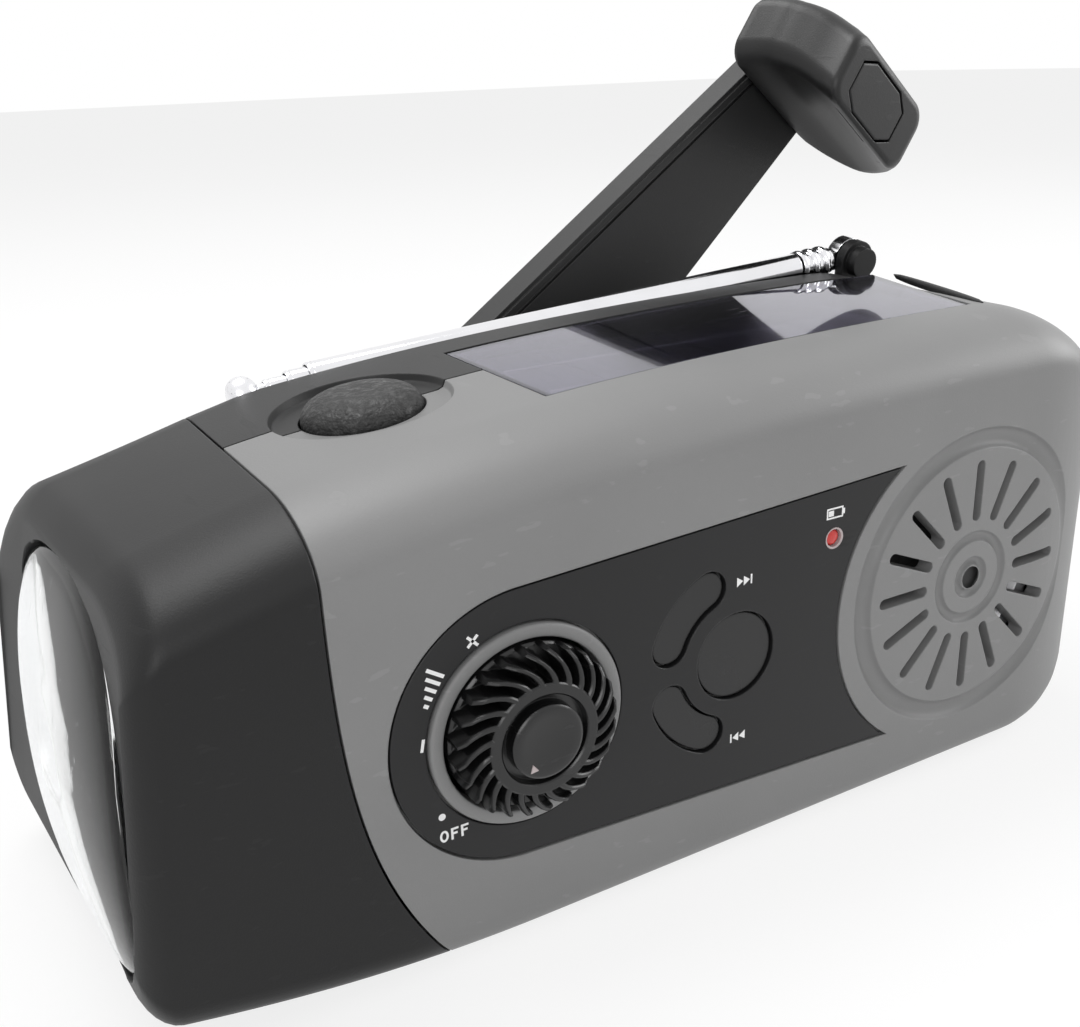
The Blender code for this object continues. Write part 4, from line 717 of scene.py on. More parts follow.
def bean(sign, grow=0.0):
    half = band + grow
    start, end = math.radians(114.0), math.radians(159.0)
    outline = arc((key_x, key_z), track + half, start, end, 16)
    for turn, way in ((end, end), (start, start + math.pi)):
        middle = (key_x + track * math.cos(turn), key_z + track * math.sin(turn))
        cap = arc(middle, half, way, way + math.pi, 12)[1:-1]
        outline += cap
        if turn == end:
            outline += arc((key_x, key_z), track - half, end, start, 16)
    return [(x, 2 * key_z - z) for x, z in reversed(outline)] if sign < 0 else outline


def window_plate(name, grow, top_drop, bottom_drop, count=48):
    rings = []
    for k in range(count + 1):
        front = -0.0200 - grow + (0.0475 + 0.0200 + 2 * grow) * k / count
        rear = -0.0200 - grow + (0.0555 + 0.0200 + 2 * grow) * k / count
        rings.append(
            [
                (front, -0.0120 - grow, top_z(front) - bottom_drop),
                (rear, 0.0144 + grow, top_z(rear) - bottom_drop),
                (rear, 0.0144 + grow, top_z(rear) - top_drop),
                (front, -0.0120 - grow, top_z(front) - top_drop),
            ]
        )
    return skin(name, rings)


button_x, button_y, button_tilt = -0.0366, 0.0033, math.radians(6.6)
button_place = frame_at(
    (button_x, button_y, top_z(button_x)), (-math.sin(button_tilt), 0.0, math.cos(button_tilt)), (0.0, 1.0, 0.0)
)
back_normal = Vector((0.0, math.cos(lean), math.sin(lean)))
back_up = Vector((0.0, -math.sin(lean), math.cos(lean)))


def on_back(x, up, out=0.0):
    return Vector((x, floor_back_y, 0.0)) + back_up * up + back_normal * out


def rod(name, radius, start, end, place, sides=72):
    return spin(name, [(0.0, start), (radius, start), (radius, end), (0.0, end)], place, sides)


def block(name, low, high, place=None):
    return plate(name, [[(low[0], low[1]), (high[0], low[1]), (high[0], high[1]), (low[0], high[1])]], low[2], high[2], place)


print("panel outline has", len(panel_outline()), "points")

# %% [markdown]
# ## The front shell
# The grey front carries everything the user sees: the bed of the panel, the knob's well, the keys' holes, sixteen
# sound slots, the rings about them, the window's bed and the torch button's dish. Sculpting would be loose;
# cutting the casing's skin with the same tools as the CAD model keeps every piece in its bed. The rings are cut
# with a rounded tool, so that their sides shade softly.


# %% Cuts in the top
def top_cuts(shell):
    carve(shell, "DIFFERENCE", window_plate("window_bed", gap, -reach_out, 0.0014))
    carve(shell, "DIFFERENCE", window_plate("window_opening", -0.0018, -reach_out, wall + 0.0025))
    dish = [(0.0, -0.0011), (0.0100, -0.0011), (0.0107, -0.0009), (0.0110, -0.0004), (0.0112, 0.0), (0.0116, reach_out),
            (0.0, reach_out)]
    carve(shell, "DIFFERENCE", spin("dish", dish, button_place))
    carve(shell, "DIFFERENCE", rod("dome_hole", 0.0077, -wall - 0.005, reach_out, button_place))


def soft_groove(outer, inner, depth, shoulder=0.0005):
    """A ring-shaped tool whose section is round-bottomed."""
    centre, half = (outer + inner) / 2, (outer - inner) / 2
    profile = [(outer + shoulder, 0.00005), (outer + shoulder, reach_out), (inner - shoulder, reach_out),
               (inner - shoulder, 0.00005)]
    for k in range(13):
        across = -1 + 2 * k / 12
        drop = depth * (1 - abs(across) ** 2.6) ** 0.8
        profile.append((centre + across * half, -drop if 0 < k < 12 else -0.00002))
    return spin("groove", profile, on_front(speaker_x, speaker_z), 128)


# %% Front shell
outer, inner = casing("outer", 0.0, torch_end, speaker_end), casing("inner", wall, torch_end + wall, speaker_end - wall, 30, 1)


def twin(source):
    made = source.copy()
    made.data = source.data.copy()
    scene.collection.objects.link(made)
    return made


front_shell = twin(outer)
front_shell.name = "front_shell"
carve(front_shell, "INTERSECT", seam_side(1, front_y - reach_out, parting - gap / 2))
carve(front_shell, "DIFFERENCE", twin(inner))
carve(front_shell, "DIFFERENCE", plate("panel_bed", [panel_outline(gap)], -0.0012, reach_out, front_plane))
carve(front_shell, "DIFFERENCE", rod("knob_well", 0.0103, -wall - 0.005, reach_out, on_front(knob_x, knob_z)))
for sign in (1, -1):
    carve(front_shell, "DIFFERENCE", plate("key_hole", [bean(sign, gap)], -wall - 0.0025, reach_out, front_plane))
carve(front_shell, "DIFFERENCE", rod("centre_hole", key_radius + gap, -wall - 0.0025, reach_out, on_front(key_x, key_z)))
carve(front_shell, "DIFFERENCE", rod("lamp_hole", lamp_radius + gap, -wall - 0.0025, reach_out, on_front(lamp_x, lamp_z), 32))
slots = []
for k in range(16):
    turn = Matrix.Rotation(math.pi / 2 + math.tau * k / 16, 4, "Z")
    outline = arc((0.0165 - 0.00075, 0.0), 0.00075, -math.pi / 2, math.pi / 2, 8)
    outline += arc((0.0081 + 0.00075, 0.0), 0.00075, math.pi / 2, math.pi * 1.5, 8)
    slots.append(plate("slot", [outline], -wall - 0.0025, reach_out, on_front(speaker_x, speaker_z) @ turn))
carve(front_shell, "DIFFERENCE", *slots)
for groove in ((0.0208, 0.0180, 0.0010), (0.0066, 0.0051, 0.0007), (0.0030, 0.0017, 0.0007)):
    carve(front_shell, "DIFFERENCE", soft_groove(*groove))
top_cuts(front_shell)
fit(front_shell, grey_satin, "case", "front_housing", slot="grey_shell")
print("front shell", len(front_shell.data.polygons), "faces")

# %% [markdown]
# ## The rear shell and the torch cap
# Both are black and come from the same skin. The rear shell has a ledge along its top for the aerial, which runs
# on through the cap so that the folded aerial can be drawn out, and an ear that takes the aerial's screw.

# %% The aerial's place
drop_angle, pivot_x, pivot_up, aerial_in = math.radians(4.08), 0.0575, 0.0645, 0.0013
aerial_along = Vector((-math.cos(drop_angle), 0.0, 0.0)) - back_up * math.sin(drop_angle)
aerial_place = frame_at(on_back(pivot_x, pivot_up, -aerial_in), back_normal, back_normal.cross(aerial_along))
along_aerial = aerial_place @ Matrix.Rotation(math.pi / 2, 4, "Y")


def ledge(wide, far):
    low = -(0.0023 + 0.0005) - wide
    return block("ledge", (-0.03, low, low), (far, reach_out * 2, reach_out * 2), aerial_place)


def tray(side):
    made = ledge(0.0014, pivot_x - torch_end + reach_out)
    carve(made, "INTERSECT", casing("tray_limit", wall / 2, torch_end + wall / 2, speaker_end - wall / 2, 30, 2))
    return carve(made, "INTERSECT", seam_side(side, front_y - reach_out, floor_back_y + reach_out))


# %% Rear shell
rear_shell = twin(outer)
rear_shell.name = "rear_shell"
carve(rear_shell, "INTERSECT", seam_side(1, parting + gap / 2, floor_back_y + reach_out))
carve(rear_shell, "DIFFERENCE", twin(inner))
carve(rear_shell, "UNION", tray(1))
carve(rear_shell, "DIFFERENCE", ledge(0.0, pivot_x - torch_end + 0.03))
screw_places = ((-0.0400, 0.0105), (0.0560, 0.0110), (-0.0455, height - 0.0160), (0.0540, height - 0.0160))
for x, z in screw_places:
    place = frame_at((x, parting, z), (0.0, 1.0, 0.0))
    deep = back_y(z) - parting
    carve(rear_shell, "UNION", rod("post", 0.0036, deep - wall - 0.009, deep - wall / 2, place, 48))
    carve(rear_shell, "DIFFERENCE", rod("well", 0.0029, 0.0060, deep + reach_out, place, 48))
hub_x, hub_up = -0.0174, height * 0.498
hub_back = frame_at(on_back(hub_x, hub_up), back_normal, back_up)
carve(rear_shell, "DIFFERENCE", rod("bush_hole", 0.0042 + gap, -wall - 0.005, reach_out, hub_back))
ear = -0.0011 - gap
carve(rear_shell, "UNION", block("ear_foot", (-0.0032, -0.0090, ear - 0.0016), (0.0032, 0.0, ear), aerial_place))
carve(rear_shell, "UNION", rod("ear_head", 0.0032, ear - 0.00159, ear - 0.00001, aerial_place, 48))
carve(rear_shell, "UNION", rod("ear_sleeve", 0.0024, -0.0048, ear - 0.0008, aerial_place, 48))
carve(rear_shell, "DIFFERENCE", rod("screw_hole", 0.0014, -0.0043, reach_out, aerial_place, 32))
top_cuts(rear_shell)
fit(rear_shell, black_satin, "case", "rear_housing", slot="black_shell")
print("rear shell", len(rear_shell.data.polygons), "faces")

# %% Torch cap
lens_y, lens_z, lens_wide, lens_high = -0.0037, 0.0275, 0.0187, 0.0211
lens_top, lens_foot = set_back(lens_z + lens_high), set_back(lens_z - lens_high)
lens_place = frame_at(
    (torch_end - end_slant * (lens_y - front_y) + (lens_top + lens_foot) / 2, lens_y, lens_z),
    (-1.0, -end_slant, (lens_top - lens_foot) / (2 * lens_high)),
)
lens_bend = end_dome * (lens_high / (height / 2)) ** 2


def oval(half_width, half_height, level, rounded=0.0, rise=0.0, count=96):
    """A ring of the lens's shape, or with rounded at 1 a flat ellipse; rise lifts its middle."""
    power, ring = 2 / (2.8 - 0.8 * rounded), []
    for k in range(count):
        across, up = math.cos(math.tau * k / count), math.sin(math.tau * k / count)
        across = math.copysign(abs(across) ** power, across) * half_width
        up = math.copysign(abs(up) ** power, up) * half_height
        lift = lens_bend * (1 - (up / lens_high) ** 2) * (1 - rounded)
        ring.append((across - up * 0.20 * (1 - rounded), up + rise, level + lift))
    return ring


torch_shell = twin(outer)
torch_shell.name = "torch_shell"
carve(torch_shell, "INTERSECT", seam_side(-1, front_y - reach_out, floor_back_y + reach_out))
carve(torch_shell, "DIFFERENCE", twin(inner))
carve(torch_shell, "UNION", tray(-1))
carve(torch_shell, "DIFFERENCE", ledge(0.0, pivot_x - torch_end + 0.03))
opening = [oval(lens_wide + grow, lens_high + grow, level) for grow, level in
           ((0.0, -0.02), (0.0, -0.0006), (0.0002, 0.0000), (0.0006, 0.0004), (0.0008, 0.012))]
carve(torch_shell, "DIFFERENCE", skin("opening", opening, lens_place))
fit(torch_shell, black_satin, "case", "torch_cap", slot="black_shell")
for tool in (outer, inner):
    bpy.data.objects.remove(tool, do_unlink=True)
print("torch cap", len(torch_shell.data.polygons), "faces")

# %% [markdown]
# ## The control panel and its printing
# The panel is one thin satin plate that lies in its bed with a hairline gap. The signs on it are pad printed, so
# each is a film a few hundredths of a millimetre thick: plus, a rising wedge and minus for loudness, a dot and OFF
# for the switch, arrows for the two curved keys, and a battery by the lamp.


# %% Panel
def washer(centre, outer_radius, inner_radius):
    return [circle(centre, outer_radius, 48), circle(centre, inner_radius, 48)]


holes = [circle((knob_x, knob_z), 0.0122), bean(1, gap), bean(-1, gap), circle((key_x, key_z), key_radius + gap),
         circle((lamp_x, lamp_z), lamp_radius + gap, 32)]
panel = plate("panel", [panel_outline()] + holes, -0.0011, -0.0001, front_plane, 0.00022, 3)
fit(panel, panel_black, "case", "control_panel", slot="panel_black")


def turned_outline(outline, centre, angle):
    c, s = math.cos(angle), math.sin(angle)
    return [(centre[0] + x * c - y * s, centre[1] + x * s + y * c) for x, y in outline]


def bar(length, width, centre=(0.0, 0.0), angle=0.0):
    x, y = length / 2, width / 2
    return turned_outline([(-x, -y), (x, -y), (x, y), (-x, y)], centre, angle)


def printed(name, shapes, place=front_plane, level=-0.0001, look=ink):
    """Films of ink that lie on a surface, each a list of an outline and its holes."""
    films = [plate("film", shape, level - 0.00003, level + 0.00003, place) for shape in shapes]
    made = films[0]
    made.name = name
    bm = bmesh.new()
    for film in films:
        bm.from_mesh(film.data)
    bm.to_mesh(made.data)
    bm.free()
    for film in films[1:]:
        bpy.data.objects.remove(film, do_unlink=True)
    return fit(made, look, "case")


stroke = 0.00034
plus_at, minus_at, wedge_at = (-0.0379, 0.0400), (-0.0443, 0.0297), (-0.0426, 0.0356)
printed("plus_sign", [[bar(0.0017, stroke, plus_at, math.radians(45 + 90 * k))] for k in range(2)])
printed("minus_sign", [[bar(0.0015, stroke, minus_at, math.radians(78))]])
rising = [
    [bar(0.00042, 0.0006 + 0.00042 * k, (-0.0018 + 0.0009 * k, 0.00021 * k), 0.0)] for k in range(5)
]
printed("loudness_bars", [[turned_outline(shape[0], wedge_at, math.radians(57))] for shape in rising])
printed("level_dot", [[circle((-0.0427, 0.0204), 0.00042, 24)]])


def letter_strokes(centre):
    """OFF in plain strokes: a ring and two combs."""
    x, z = centre
    oblong = [(x - 0.0012 + 0.00052 * math.cos(t), z + 0.00072 * math.sin(t)) for t in
              [math.tau * k / 32 for k in range(32)]]
    inner_oblong = [(x - 0.0012 + 0.00026 * math.cos(t), z + 0.00045 * math.sin(t)) for t in
                    [math.tau * k / 32 for k in range(32)]]
    made = [[oblong, inner_oblong]]
    for left in (x - 0.00038, x + 0.00082):
        made += [
            [bar(0.00027, 0.00144, (left + 0.00013, z))],
            [bar(0.00064, 0.00026, (left + 0.00058, z + 0.00059))],
            [bar(0.00050, 0.00026, (left + 0.00051, z + 0.00002))],
        ]
    return made


printed("off_mark", letter_strokes((-0.0414, 0.0179)))


def arrows(centre, way):
    """Two small triangles and a bar that point one way, for the curved keys."""
    x, z = centre
    shapes = []
    for k in range(2):
        at = x + way * (-0.00095 + 0.0010 * k)
        shapes.append([[(at, z - 0.0006), (at + way * 0.0009, z), (at, z + 0.0006)]])
    shapes.append([bar(0.00022, 0.0012, (x + way * 0.00118, z))])
    return shapes


printed("forward_mark", arrows((-0.0025, 0.0380), 1))
printed("back_mark", arrows((-0.0026, 0.0172), -1))
cell_x, cell_z = 0.0113, 0.0435
printed("battery_mark", [
    [bar(0.0026, 0.0014, (cell_x, cell_z)), bar(0.0022, 0.0010, (cell_x, cell_z))],
    [bar(0.00026, 0.0007, (cell_x + 0.00144, cell_z))],
    [bar(0.0008, 0.0007, (cell_x - 0.0006, cell_z))],
])
print("panel and printing made")

# %% [markdown]
# ## The volume knob
# The knob is a gloss turbine: a drum with twenty-four blades that sweep outward from a flat collar and slope
# back to the rim, a black groove, and a slightly dished cap with a small pointer. Each blade is a skin
# through seven sections, which keeps its top round, where a plain extrusion would look stamped.


# %% Knob
def blade(angle, face):
    rings = []
    for k in range(8):
        share = k / 7
        radius = 0.0060 + (0.0098 - 0.0060) * share
        turn = angle + math.radians(22.0) * share**1.5
        half = 0.00050 - 0.00012 * share
        top = face - 0.0007 - 0.0009 * share**2 - (0.0006 if k == 7 else 0.0)
        x, y = radius * math.cos(turn), radius * math.sin(turn)
        lean_on = turn + math.radians(22.0) * 1.5 * share**0.5 * 0.55
        across = Vector((-math.sin(lean_on), math.cos(lean_on)))
        profile = [(-1.0, -0.0045), (-1.0, -0.0006), (-0.80, -0.0002), (-0.35, 0.0), (0.35, 0.0), (0.80, -0.0002),
                   (1.0, -0.0006), (1.0, -0.0045)]
        rings.append([(x + across.x * half * w, y + across.y * half * w, min(top + h, top)) for w, h in profile])
    return skin("blade", rings)


def merged(name, pieces, place=None):
    bm = bmesh.new()
    for piece in pieces:
        bm.from_mesh(piece.data)
        bpy.data.objects.remove(piece, do_unlink=True)
    return raw(name, bm, place)


knob_place, face = on_front(knob_x, knob_z), 0.0046
drum = [(0.0, face - 0.0110), (0.0096, face - 0.0110), (0.0098, face - 0.0108), (0.0098, face - 0.0046),
        (0.0095, face - 0.0043), (0.0066, face - 0.0043), (0.0066, face - 0.0009), (0.0064, face - 0.0007),
        (0.0054, face - 0.0007), (0.0052, face - 0.0009), (0.0052, face - 0.0019), (0.0043, face - 0.0019),
        (0.0043, face - 0.0003), (0.0041, face - 0.0001), (0.0038, face), (0.0030, face - 0.0001),
        (0.0018, face - 0.0003), (0.0, face - 0.00035)]
knob = spin("volume_turbine", drum)
carve(knob, "UNION", merged("blades", [blade(math.tau * k / 24, face) for k in range(24)]))
knob.data.transform(knob_place)
fit(knob, knob_black, "volume", "volume_knob", slot="gloss_black", crease=30.0)
pointer = plate("volume_pointer", [[(-0.0006, -0.0004), (0.0005, -0.0003), (-0.0002, 0.0006)]], face - 0.0004, face + 0.00005,
                knob_place @ Matrix.Translation((-0.0019, -0.0026, 0.0)), 0.0001, 2)
fit(pointer, lamp_rim, "volume")
bezel_profile = [(0.0119, -0.0011), (0.0119, 0.0001), (0.01175, 0.0003), (0.0115, 0.0004), (0.0107, 0.0004),
                 (0.0104, 0.0003), (0.0103, 0.0001), (0.0103, -0.0011)]
bezel = spin("knob_bezel", bezel_profile, knob_place, 128)
fit(bezel, grey_satin, "case", "knob_ring", slot="grey_shell")
print("knob has", len(knob.data.polygons), "faces")

# %% [markdown]
# ## Keys and the charge lamp
# Two curved keys wrap about a round one. They stand just under the panel, so each shows a black gap
# all round. Their flanges stay behind the shell, as on the real keys, so that they can't fall out.


# %% Keys and lamp
def panel_key(name, outline, flange_outline, stem_at, body, replaced):
    made = plate(name, [outline], -0.0028, -0.0005, front_plane, 0.00035, 4)
    flange = plate("flange", [flange_outline], -0.0035, -0.0027, front_plane)
    stem = rod("stem", 0.0011, -0.0094, -0.0031, on_front(*stem_at), 24)
    carve(made, "UNION", flange, stem)
    return fit(made, key_black, body, replaced, slot="gloss_black")


middle_turn = math.radians((114.0 + 159.0) / 2)
off_x, off_z = track * math.cos(middle_turn), track * math.sin(middle_turn)
panel_key("forward_key", bean(1), bean(1, 0.0011), (key_x + off_x, key_z + off_z), "scan_forward", "scan_forward_button")
panel_key("back_key", bean(-1), bean(-1, 0.0011), (key_x + off_x, key_z - off_z), "scan_back", "scan_back_button")
round_key = circle((key_x, key_z), key_radius)
panel_key("middle_key", round_key, circle((key_x, key_z), key_radius + 0.0004), (key_x, key_z), "centre_key",
          "centre_button")
lamp_profile = [(0.0, -0.0133), (0.0016, -0.0133), (0.0016, -0.0027), (0.0011, -0.0027), (0.0011, -0.0008),
                (0.0010, -0.0005), (0.0007, -0.0003), (0.0, -0.00025)]
charge_lamp = spin("charge_lamp", lamp_profile, on_front(lamp_x, lamp_z), 48)
fit(charge_lamp, lamp_red, "case", "charge_led", slot="red_lens")
surround = spin("lamp_surround", [(0.00138, -0.0009), (0.00138, -0.00005), (0.00114, -0.00015), (0.00114, -0.0009)],
                on_front(lamp_x, lamp_z), 48)
fit(surround, lamp_rim, "case")
print("keys and lamp made")

# %% [markdown]
# ## The solar window and what lies under it
# A smoked cover follows the crown of the top. Under it is a flat board with six dark cells, thin gaps between
# them, two bus bars and a pale tab at the left. Seen this low the cover mirrors more than it shows.

# %% Window and cells
cover = window_plate("solar_cover", 0.0, 0.0001, 0.0012)
soften(cover, 0.0002, 2, 60.0)
fit(cover, smoked, "case", "solar_window", slot="smoked_window")
cell_top = top_z(-0.0200) - 0.0027
board = block("cell_board", (-0.0212, -0.0132, cell_top - 0.0016), (0.0463, 0.0156, cell_top - 0.0002))
soften(board, 0.0001, 2)
fit(board, cell_backing, "case", "solar_panel", slot="solar_cells")
cell_pitch, first_cell = 0.0098, -0.0160
strips = [
    block("strip", (first_cell + cell_pitch * k, -0.0122, cell_top - 0.00021),
          (first_cell + cell_pitch * (k + 1) - 0.0006, 0.0146, cell_top - 0.00002))
    for k in range(6)
]
fit(merged("silicon_strips", strips), cells, "case", slot="solar_cells")
bars = [block("bus", (-0.0200, y - 0.0003, cell_top - 0.00003), (0.0440, y + 0.0003, cell_top + 0.00006)) for y in (-0.0046, 0.0070)]
bars.append(block("tab", (-0.0198, -0.0100, cell_top - 0.0002), (-0.0172, 0.0124, cell_top + 0.00006)))
fit(merged("bus_bars", bars), cell_metal, "case")


def end_strip():
    """A dark rounded strip, a little proud of the top, along the window's slanted end at the speaker side."""
    start, end = Vector((0.0578, 0.0120)), Vector((0.0500, -0.0125))
    rings = []
    for k in range(17):
        share = k / 16
        at = start.lerp(end, share)
        taper = max(0.12, math.sin(math.pi * min(1.0, max(0.0, share))) ** 0.25)
        half, high = 0.00075 * taper, 0.00032 * taper
        along = (end - start).normalized()
        across = Vector((-along.y, along.x))
        ring = []
        for w, h in ((-1, -2.0), (1, -2.0), (1, 0.1), (0.7, 0.7), (0.0, 1.0), (-0.7, 0.7), (-1, 0.1)):
            point = at + across * half * w
            ring.append((point.x, point.y, top_z(point.x) + high * h))
        rings.append(ring)
    return skin("window_end_strip", rings)


fit(end_strip(), black_satin, "case")
print("window and", len(strips), "cells made")

# %% [markdown]
# ## The torch button
# A rubber dome stands in a round dish on the top. It is one spun skin with a flange under the shell.

# %% Torch button
dome = [(0.0, -0.0037), (0.0086, -0.0037), (0.0086, -0.0027), (0.0074, -0.0027), (0.0074, -0.0011)]
dome += [(0.0074 * math.cos(t) ** 0.5, -0.0011 + 0.0028 * math.sin(t)) for t in [math.pi / 2 * k / 14 for k in range(1, 14)]]
torch_push = spin("torch_push", dome + [(0.0, 0.0017)], button_place)
upright = frame_at((button_x, button_y, 0.0), (0.0, 0.0, 1.0), (0.0, 1.0, 0.0))
fit(torch_push, rubber, "torch_key", "torch_button", slot="black_rubber")
print("torch button made")

# %% [markdown]
# ## The torch
# Behind a bent clear lens sits a bright cup: an apron that reaches the lens's edge, then a round bowl with a rolled
# lip, with three lamps in its floor. Rings that pass step by step from the lens's squarish outline to a circle make
# the apron without a seam.

# %% Lens, reflector and lamps
lens_rings = [oval(0.0184 * k, 0.0208 * k, -0.0022) for k in (0.15, 0.4, 0.65, 0.85, 0.97)]
lens_rings += [oval(0.0184, 0.0208, level) for level in (-0.0021, -0.0009)]
for k in range(1, 9):
    turn = math.pi / 2 * k / 9
    lens_rings.append(oval(0.0184 * math.cos(turn), 0.0208 * math.cos(turn), -0.0008 + 0.0022 * math.sin(turn)))
fit(skin("torch_window", lens_rings, lens_place), clear, "case", "torch_lens", slot="clear_lens")

bowl_rise = 0.0030
cup = [oval(0.0125, 0.0125, -0.0165, 1.0), oval(0.0150, 0.0150, -0.0100, 1.0, bowl_rise / 2), oval(0.0182, 0.0206, -0.0031),
       oval(0.0182, 0.0206, -0.0026)]
for k in range(9):
    share = k / 8
    eased = share**0.8
    cup.append(oval(0.0172 + (0.0124 - 0.0172) * eased, 0.0196 + (0.0124 - 0.0196) * eased,
                    -0.0028 - 0.0052 * share**1.3, eased, bowl_rise * eased))
for radius, level in ((0.0122, -0.0078), (0.0119, -0.0077), (0.0116, -0.0080), (0.0114, -0.0092), (0.0110, -0.0112),
                      (0.0103, -0.0132), (0.0093, -0.0148), (0.0084, -0.0154)):
    cup.append(oval(radius, radius, level, 1.0, bowl_rise * (1 - (-0.0078 - level) * 60)))
reflector = skin("torch_cup", cup, lens_place)
lamp_spots = [(0.005 * math.cos(math.pi / 2 + math.tau * k / 3), 0.005 * math.sin(math.pi / 2 + math.tau * k / 3))
              for k in range(3)]
for x, y in lamp_spots:
    carve(reflector, "DIFFERENCE", rod("lamp_bore", 0.0028, -0.03, -0.0100, lens_place @ Matrix.Translation((x, y, 0.0)), 40))
fit(reflector, reflector_plate, "case", "torch_reflector", slot="chrome", crease=28.0)

lamp_floor = -0.0008 - 0.0014 - 0.0003 - 0.0140
lamp_base = lamp_floor - 0.0016
for k, (x, y) in enumerate(lamp_spots):
    profile = [(0.0, lamp_base), (0.0029, lamp_base), (0.0029, lamp_base + 0.0010), (0.0025, lamp_base + 0.0010),
               (0.0025, lamp_base + 0.0037)]
    profile += [(0.0025 * math.cos(t), lamp_base + 0.0037 + 0.0025 * math.sin(t)) for t in
                [math.pi / 2 * step / 8 for step in range(1, 8)]]
    bulb = spin("torch_bulb_%d" % (k + 1), profile + [(0.0, lamp_base + 0.0062)],
                lens_place @ Matrix.Translation((x, y, 0.0)), 40)
    fit(bulb, led_resin, "case", "torch_led_%d" % (k + 1), slot="clear_lens")
print("torch made")

# %% [markdown]
# ## The crank
# A hub on the back carries a forked arm that swings out on a pin, and a handle turns on the arm's tip.
# The arm has a raised lip and a groove along one long edge. The handle is a barrel through smooth stations,
# cut by an eight-sided cap.

# %% Hub
crank_angle, fold_angle, crank_length = math.radians(35.8), math.radians(9.8), 0.0965
crank_along = Vector((math.cos(crank_angle), 0.0, 0.0)) + back_up * math.sin(crank_angle)
hub_place = frame_at(on_back(hub_x, hub_up), back_normal, back_normal.cross(crank_along))
arm_place = hub_place @ Matrix.Translation((0.0, 0.0, 0.0080)) @ Matrix.Rotation(-fold_angle, 4, "Y")


def across_arm(place, x=0.0, z=0.0):
    return place @ Matrix.Translation((x, 0.0, z)) @ Matrix.Rotation(-math.pi / 2, 4, "X")


hub_profile = [(0.0, 0.0006), (0.0138, 0.0006), (0.0140, 0.0008), (0.0140, 0.0035), (0.0138, 0.0040), (0.0133, 0.0042),
               (0.0, 0.0042)]
hub = spin("crank_boss", hub_profile, hub_place)
lug = plate("lug", [[(-0.0030, -0.0060), (0.0030, -0.0060), (0.0030, 0.0060), (-0.0030, 0.0060)]], 0.0024, 0.0080, hub_place)
carve(hub, "UNION", lug, rod("lug_top", 0.0030, -0.0060, 0.0060, across_arm(hub_place, 0.0, 0.0080), 48))
carve(hub, "DIFFERENCE", rod("pin_way", 0.0014, -0.0140, 0.0140, across_arm(hub_place, 0.0, 0.0080), 24),
      rod("shaft_way", 0.0027, -0.01, 0.0024, hub_place, 32))
fit(hub, crank_black, "crank_drive", "crank_hub", slot="black_shell")

# %% Arm
outline = [(0.0, -0.0148)] + arc((crank_length, 0.0), 0.0080, -math.pi / 2, math.pi / 2, 40) + [(0.0, 0.0148)]
arm = plate("crank_lever", [outline], -0.0025, 0.0025, arm_place, 0.0007, 4)
carve(arm, "UNION", rod("knuckle", 0.0025, -0.0146, 0.0146, across_arm(arm_place), 48))
edge_start, edge_end = Vector((0.0, -0.0148)), Vector((crank_length, -0.0080))
edge_along = (edge_end - edge_start).normalized()
edge_in = Vector((-edge_along.y, edge_along.x))


def along_edge(start, end, near, far):
    corners = ((start, near), (end, near), (end, far), (start, far))
    return [tuple(edge_start + edge_along * a + edge_in * b) for a, b in corners]


carve(arm, "DIFFERENCE", plate("groove", [along_edge(0.0075, 0.0930, 0.0021, 0.0026)], -0.0045, -0.0020, arm_place))
carve(arm, "UNION", plate("lip", [along_edge(0.0080, 0.0930, 0.0007, 0.0019)], -0.0028, -0.0020, arm_place, 0.0001, 2))
carve(arm, "DIFFERENCE", block("fork", (-0.01, -0.0064, -0.01), (0.0052, 0.0064, 0.01), arm_place),
      rod("pin_way", 0.0014, -0.03, 0.03, across_arm(arm_place), 24),
      rod("handle_way", 0.0014, -0.01, 0.01, arm_place @ Matrix.Translation((crank_length, 0.0, 0.0)), 24))
fit(arm, crank_black, "crank", "crank_arm", slot="black_shell")
print("arm has", len(arm.data.polygons), "faces")

# %% Handle
handle_place = (arm_place @ Matrix.Translation((crank_length, 0.0, -0.0025)) @ Matrix.Rotation(math.pi, 4, "Y")
                @ Matrix.Rotation(math.radians(17.0), 4, "Z"))
stations = (
    (0.00, -0.0040, 0.0082, -0.0162, 0.0092),
    (0.12, -0.0034, 0.0090, -0.0154, 0.0162),
    (0.23, -0.0026, 0.0093, -0.0146, 0.0213),
    (0.34, -0.0022, 0.0093, -0.0138, 0.0229),
    (0.58, -0.0028, 0.0088, -0.0121, 0.0210),
    (0.82, -0.0046, 0.0072, -0.0104, 0.0166),
    (1.00, -0.0062, 0.0056, -0.0099, 0.0130),
)


def limits_at(share):
    """A smooth curve through the stations, so that the barrel has no hard bands."""
    k = max(i for i in range(len(stations) - 1) if stations[i][0] <= share)
    rows = [stations[min(max(i, 0), len(stations) - 1)] for i in (k - 1, k, k + 1, k + 2)]
    t = (share - rows[1][0]) / (rows[2][0] - rows[1][0])
    blended = []
    for column in range(1, 5):
        before, low, high, beyond = (row[column] for row in rows)
        start, end = (high - before) / 2, (beyond - low) / 2
        blended.append(
            low * (2 * t**3 - 3 * t**2 + 1) + start * (t**3 - 2 * t**2 + t) + high * (3 * t**2 - 2 * t**3)
            + end * (t**3 - t**2)
        )
    return blended


